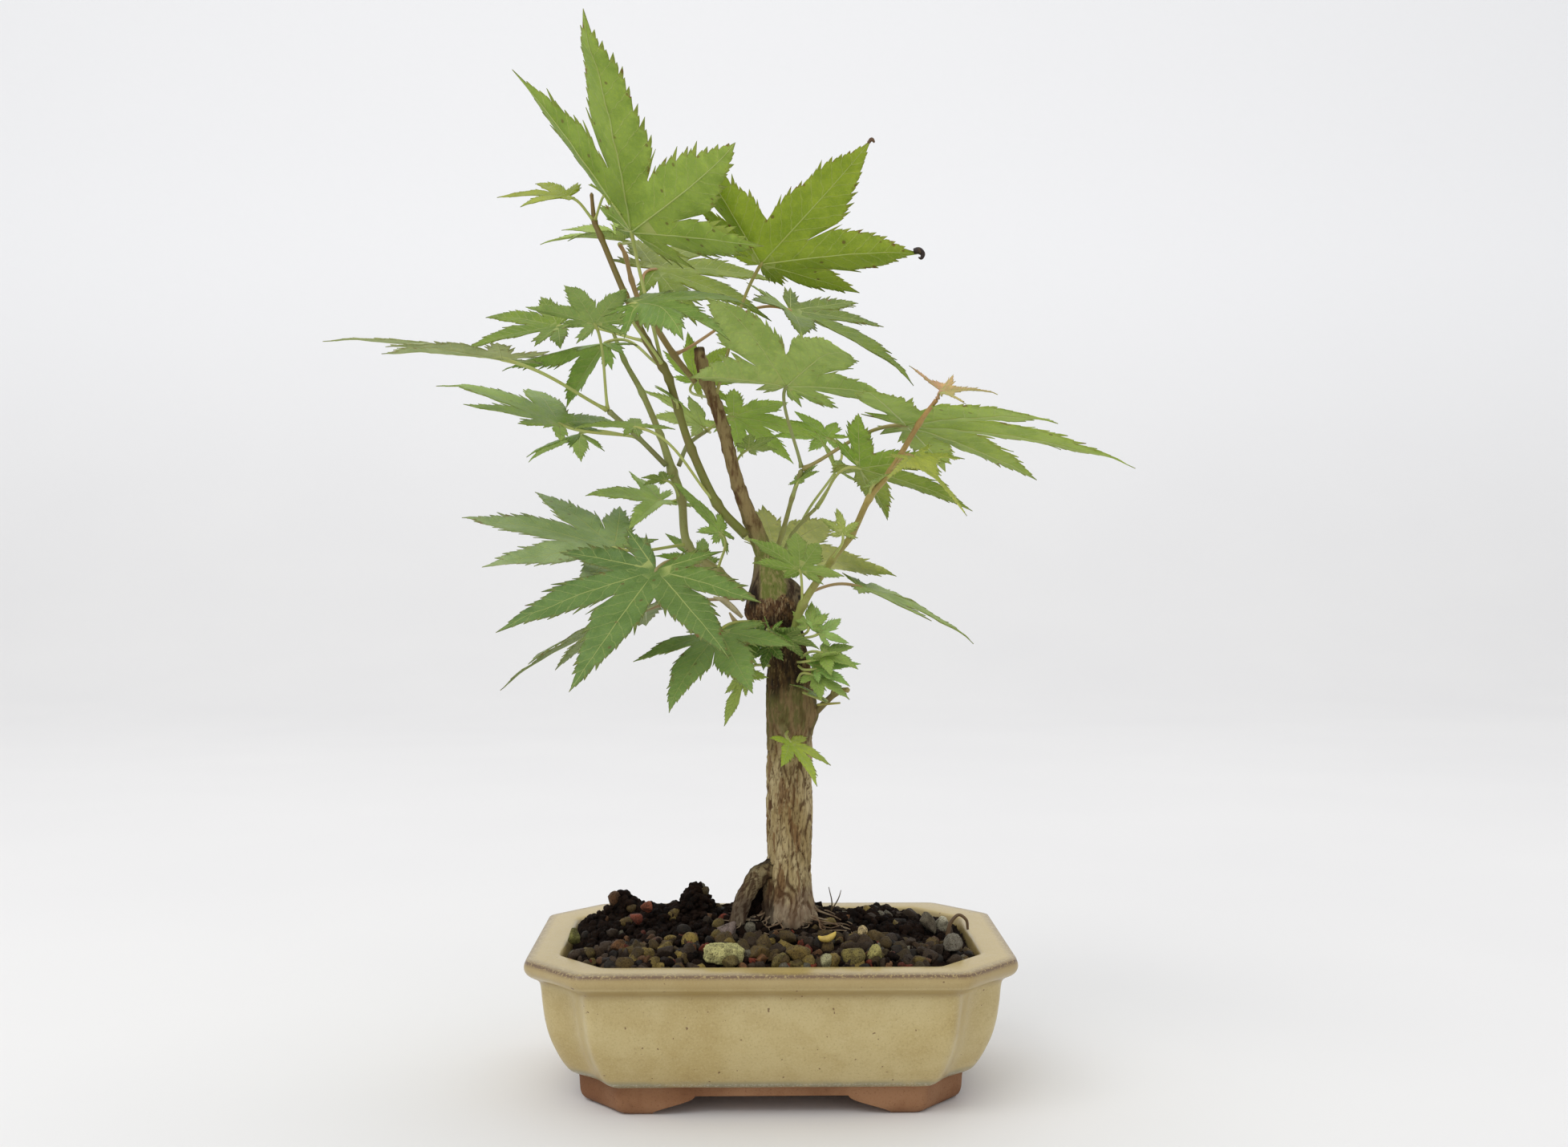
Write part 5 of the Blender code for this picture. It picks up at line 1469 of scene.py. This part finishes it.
def thick_sheet(points, faces, thickness):
    """A closed body around an open sheet: its points, upper faces, under faces and rim."""
    corners = points[faces]
    cross = np.cross(corners[:, 1] - corners[:, 0], corners[:, 2] - corners[:, 0])
    if cross[:, 2].sum() < 0:
        faces = faces[:, ::-1]
        cross = -cross
    normals = np.zeros_like(points)
    for column in range(3):
        np.add.at(normals, faces[:, column], cross)
    normals /= np.linalg.norm(normals, axis=1)[:, None] + 1e-12
    count = len(points)
    both = np.vstack([points + normals * thickness / 2, points - normals * thickness / 2])
    seen = {edge: None for a, b, c in faces for edge in ((a, b), (b, c), (c, a))}
    rim = [(b, a, a + count, b + count) for a, b in seen if (b, a) not in seen]
    return both, faces.tolist(), (faces[:, ::-1] + count).tolist(), rim


def bezier(start, first, second, end, share):
    rest = 1 - share
    outer = start * rest ** 3 + end * share ** 3
    return outer + first * 3 * rest ** 2 * share + second * 3 * rest * share ** 2


def shoot_point(branch, number):
    rows = {"trunk": TRUNK, "leader": LEADER, **SHOOTS}[branch]
    if branch == "trunk":
        number = min(number, len(rows) - 1)
    return np.array(rows[number][:3], float), rows[number][3]


def make_leaf(name, row, number, materials, nodes):
    """A leaf: its blade, the raised veins under it, and its stalk, which starts inside its shoot."""
    branch, point, base, size, attitude, droop, cup, count = row
    *looks, blemish = LEAF_TONES_AND_LIGHT[name]
    left_tone, right_tone, stalk_tone = (tone_of(colour) for colour in looks)
    dice = np.random.default_rng(100 + number)
    axes = leaf_frame(*attitude)
    base = np.array(base, float)
    lobes = leaf_lobes(name, count, size, cup)
    pitch = max(TOOTH_PITCH * size, 1.5)
    flat, faces, outline = blade_sheet(lobes, size, pitch, LOBE_BREADTHS.get(name, 1.0), dice)
    bent = bend_blade(flat, lobes, size, droop, number)
    both, upper, under, rim = thick_sheet(bent, faces, BLADE_THICKNESS)
    _, angle, along, aside, nearest = in_lobes(flat, lobes)
    lengths = np.array([lobe[1] for lobe in lobes])[nearest]
    share = np.clip((angle - lobes[0][0]) / (lobes[-1][0] - lobes[0][0]), 0, 1)[:, None]
    # The blade's colour runs from its left lobes' to its right lobes', partly as painted light and shade.
    tones = left_tone * (1 - share) + right_tone * share
    own_lobe = dice.uniform(0.92, 1.08, size=len(lobes))[nearest][:, None]
    values = {
        "vein_side": abs(aside),
        "vein_run": (along - VEIN_SLANT * abs(aside)) / pitch,
        "vein_gap": np.full(len(flat), pitch * 0.67),
        "vein_width": np.full(len(flat), max(0.0044 * size, 0.12)),
        "lobe_share": along / lengths,
        "edge": distance_to(flat, outline),
        "age": np.full(len(flat), blemish),
    }
    values = {key: np.tile(numbers, 2) for key, numbers in values.items()}
    colours = np.tile(tones * own_lobe, (2, 1))
    solid = base + both @ axes.T
    all_points = [solid]
    all_faces = upper + under + rim
    kinds = [0] * len(upper) + [1] * (len(under) + len(rim))
    total = len(solid)
    tubes = []
    vein = 0.0052 * size
    for lobe_angle, length, _ in lobes:
        if size < 20:
            break
        line = np.linspace(0.0, 0.93 * length, max(8, int(length / 2.2)))
        midrib = np.outer(line, (math.sin(lobe_angle), math.cos(lobe_angle)))
        path = bend_blade(midrib, lobes, size, droop, number)
        radius = vein * (length / size) ** 0.5 * (1 - 0.75 * line / length)
        path[:, 2] -= BLADE_THICKNESS / 2
        tubes.append((base + path @ axes.T, radius, 6))
    origin, thickness = shoot_point(branch, point)
    span = np.linalg.norm(base - origin)
    way = (base - origin) / span
    start = origin + way * thickness * 0.5
    out = start + way * span * 0.3
    arrive = base - axes[:, 1] * span * 0.35
    shares = np.linspace(0, 1, max(8, int(span / 1.6)))
    path = np.array([bezier(base, arrive, out, start, share) for share in shares])
    over = base + axes[:, 1] * 0.9 - axes[:, 2] * 0.15
    path = np.vstack([over, path])
    shares = np.concatenate([[0], shares])
    thick = 0.42 + 0.0028 * size
    radius = thick * (0.92 + 0.16 * abs(2 * shares - 1) ** 3 + 0.55 * np.clip((shares - 0.93) / 0.07, 0, 1))
    radius[0] = vein
    tubes.append((path, radius, 10))
    for path, radius, sides in tubes:
        points, own_faces = tube(np.column_stack([path, radius]), sides)
        all_points.append(points)
        all_faces += [tuple(index + total for index in face) for face in own_faces]
        kinds += [2] * len(own_faces)
        total += len(points)
        for key in values:
            values[key] = np.concatenate([values[key], np.zeros(len(points))])
        if sides == 10:
            tone = stalk_tone
        else:
            tone = tones.mean(0) * 0.45 + tone_of(VEIN_COLOUR) * 0.55
        colours = np.vstack([colours, np.tile(tone, (len(points), 1))])
    mesh = mesh_from(f"{name}_blade", np.vstack(all_points), all_faces, values, colours)
    mesh.polygons.foreach_set("material_index", kinds)
    slot = "young_leaf" if "young" in name or "tip" in name or name.startswith("trunk") else "leaf"
    add_piece(f"{name}_blade", mesh, materials, slot, *nodes)


# Small leaves that only the shown model has, in rows like those above.
SMALL_LEAVES = {
    "bud_leaf_1": ("right_shoot", 0, (12, -13, 143), 9, (20, 70, 10), 10, 0, 5),
    "bud_leaf_2": ("trunk", 8, (16, -13, 135), 13, (112, -15, 30), 25, 5, 5),
    "bud_leaf_3": ("trunk", 8, (14, -15, 133), 11, (70, 10, -20), 25, 5, 5),
    "bud_leaf_4": ("trunk", 7, (13, -15, 128), 14, (108, -25, 20), 25, 0, 5),
    "bud_leaf_7": ("trunk", 9, (-3, -16, 141), 14, (-95, -18, -35), 25, 0, 5),
    "bud_leaf_8": ("trunk", 9, (3, -16, 140), 13, (100, -8, -35), 25, 0, 5),
    "bud_leaf_9": ("trunk", 9, (0, -15, 137), 9, (-150, -45, 0), 25, 0, 5),
    "bud_leaf_10": ("left_branch", 3, (-34, 8, 190), 9, (-120, 10, 20), 20, 5, 5),
    "bud_leaf_11": ("leader", 4, (-7, 6, 200), 11, (120, 25, -20), 20, 5, 5),
    "bud_leaf_12": ("green_shoot", 3, (-30, -14, 214), 9, (-60, 40, 10), 20, 5, 5),
    "bud_leaf_13": ("middle_shoot", 2, (9, -4, 189), 9, (60, 45, 0), 20, 5, 5),
    "bud_leaf_14": ("right_shoot", 4, (31, -30, 187), 8, (140, 30, 10), 20, 5, 5),
}
FRESH_TONE = (146, 172, 84)
DEEP_TONE = (98, 130, 58)


def make_small_leaves():
    for order, (name, row) in enumerate(SMALL_LEAVES.items()):
        tone = DEEP_TONE if order in (4, 5, 6) else FRESH_TONE
        LEAF_TONES_AND_LIGHT[name] = (tone, tone, GREEN_STALK, 0.1)
        LOBE_BREADTHS[name] = 1.35
        make_leaf(name, row, 60 + order, LEAF_SKINS, [])


# Dry tips, twiglets, husks and a bare root: colour, then rows of place and radius in mm.
SCRAPS = {
    "dry_tip_low": ((40, 28, 22), (
        (44.8, -13.5, 260.8, 0.9), (46.4, -13.4, 261.0, 1.1), (47.6, -13.4, 259.9, 0.8),
        (47.1, -13.6, 258.6, 0.5), (46.2, -13.6, 258.9, 0.2))),
    "dry_tip_high": ((84, 60, 44), (
        (29.3, -31.8, 290.4, 0.5), (30.3, -32.3, 291.4, 0.6), (31.1, -32.5, 290.4, 0.3))),
    "root_loop": ((96, 74, 50), (
        (56, -9, 45, 0.7), (57, -9, 49, 0.6), (59.5, -9, 51.6, 0.5), (62, -9, 50, 0.5), (62.5, -9, 47, 0.4))),
    "yellow_husk": ((206, 178, 88), (
        (14.4, -26, 48.6, 0.3), (15.6, -26.4, 47.9, 0.9), (17.4, -26.6, 48.0, 1.1), (19.0, -26.4, 49.0, 0.8),
        (19.8, -26, 50.0, 0.2))),
    "thin_stub": ((176, 170, 92), ((15, -5, 118.0, 0.45), (19, -8, 118.6, 0.4), (22, -9, 118.9, 0.3))),
    "twig_spur": ((136, 130, 70), ((19.5, -6, 121.4, 0.6), (20, -7, 123.6, 0.5), (20.2, -7, 125.2, 0.3))),
    "dry_sheath_1": ((196, 184, 146), (
        (-9, -9, 146, 0.5), (-12, -10, 149.0, 1.0), (-15, -11, 151.4, 0.9), (-18, -12, 152.6, 0.2))),
    "dry_sheath_2": ((178, 160, 118), ((-8, -9, 143, 0.4), (-11, -11, 144.6, 0.8), (-13, -12, 147.6, 0.3))),
    "bare_twig": ((92, 78, 56), ((18, 6, 46, 0.35), (20, 5, 52, 0.25), (19, 5, 58, 0.12))),
    "bare_twig_fork": ((92, 78, 56), ((19.6, 5, 50, 0.25), (22, 5, 54, 0.2), (23, 5, 57, 0.1))),
}


def make_scraps(material):
    for name, (colour, rows) in SCRAPS.items():
        points, faces = tube(thicken_rows(rows, 0.3), 12)
        mesh = mesh_from(name, points, faces, tones=tone_of(colour))
        add_piece(name, mesh, [material], "young_bark")


VEIN_NET = make_vein_net()
LEAF_SKINS = [
    make_leaf_material("leaf_upper_side", 0.46, 0.25, shade(168, 178, 104), shade(96, 124, 60), 0.08, -0.8),
    make_leaf_material("leaf_under_side", 0.62, 0.2, shade(190, 196, 120), shade(176, 184, 118), 0.15, 1.0),
    make_stalk_material(),
]
for leaf_number, (leaf_name, leaf_row) in enumerate(LEAVES.items()):
    make_leaf(leaf_name, leaf_row, leaf_number, LEAF_SKINS, [leaf_name])
make_small_leaves()
make_scraps(YOUNG_BARK)


# ---- floor, light and camera ----
# A pale sweep under the model, its rising part painted whiter as painted light; soft light from above and
# all around; and a level view of the model's front.

def make_floor():
    material, tree, shader = new_material("studio_sweep", 0.9, specular=0.1)
    cloudy = clouds(place_in_mm(tree), 0.004, 2.0)
    level = blend(cloudy, shade(234, 233, 233), shade(240, 239, 238))
    # Painted light: the sweep turns whiter as it rises, up to 700 mm.
    rising = ramp(part_of(place_in_mm(tree), "Z"), 0.0, 700.0)
    plug(shader["Base Color"], blend(rising, level, shade(253, 253, 254)))
    rows = [(-2.2, 0.0)]
    for step in range(13):
        turn = step / 12 * math.pi / 2
        rows.append((1.3 + 0.9 * math.sin(turn), 0.9 - 0.9 * math.cos(turn)))
    rows.append((2.2, 3.0))
    points = []
    for y, z in rows:
        points += [(-4.0, y, z), (4.0, y, z)]
    faces = [(2 * i, 2 * i + 1, 2 * i + 3, 2 * i + 2) for i in range(len(rows) - 1)]
    mesh = bpy.data.meshes.new("sweep")
    mesh.from_pydata(points, [], faces)
    mesh.shade_smooth()
    floor = bpy.data.objects.new("sweep", mesh)
    bpy.context.scene.collection.objects.link(floor)
    floor.data.materials.append(material)


def add_softbox(name, place, target, width, height, power, colour):
    lamp = bpy.data.lights.new(name, "AREA")
    lamp.shape = "RECTANGLE"
    lamp.size = width
    lamp.size_y = height
    lamp.energy = power
    lamp.color = colour
    box = bpy.data.objects.new(name, lamp)
    bpy.context.scene.collection.objects.link(box)
    box.location = place
    box.rotation_euler = (Vector(target) - Vector(place)).to_track_quat("-Z", "Y").to_euler()


def light_world(colour, strength):
    world = bpy.data.worlds.new("studio")
    bpy.context.scene.world = world
    world.use_nodes = True
    background = world.node_tree.nodes["Background"]
    background.inputs["Color"].default_value = colour
    background.inputs["Strength"].default_value = strength


def add_camera():
    camera = bpy.data.cameras.new("front_view")
    camera.sensor_width = 36.0
    camera.lens = 41.3
    camera.clip_start = 0.02
    camera.dof.use_dof = False
    view = bpy.data.objects.new("front_view", camera)
    bpy.context.scene.collection.objects.link(view)
    view.location = in_place((-6.3, -577.0, 166.0))
    turn, tilt = math.radians(1.06), math.radians(-0.62)
    way = Vector((math.sin(turn) * math.cos(tilt), math.cos(turn) * math.cos(tilt), math.sin(tilt)))
    view.rotation_euler = way.to_track_quat("-Z", "Y").to_euler()
    bpy.context.scene.camera = view


make_floor()
light_world((0.975, 0.985, 1.0, 1.0), 0.76)
add_softbox("key_light", (-0.9, -1.2, 1.7), (0.0, 0.0, 0.15), 1.6, 1.2, 14.5, (1.0, 0.99, 0.97))
add_softbox("top_light", (0.3, 0.6, 2.1), (0.0, 0.0, 0.1), 1.8, 1.4, 7.5, (1.0, 1.0, 1.0))
add_camera()
bpy.context.scene.view_settings.view_transform = "Standard"
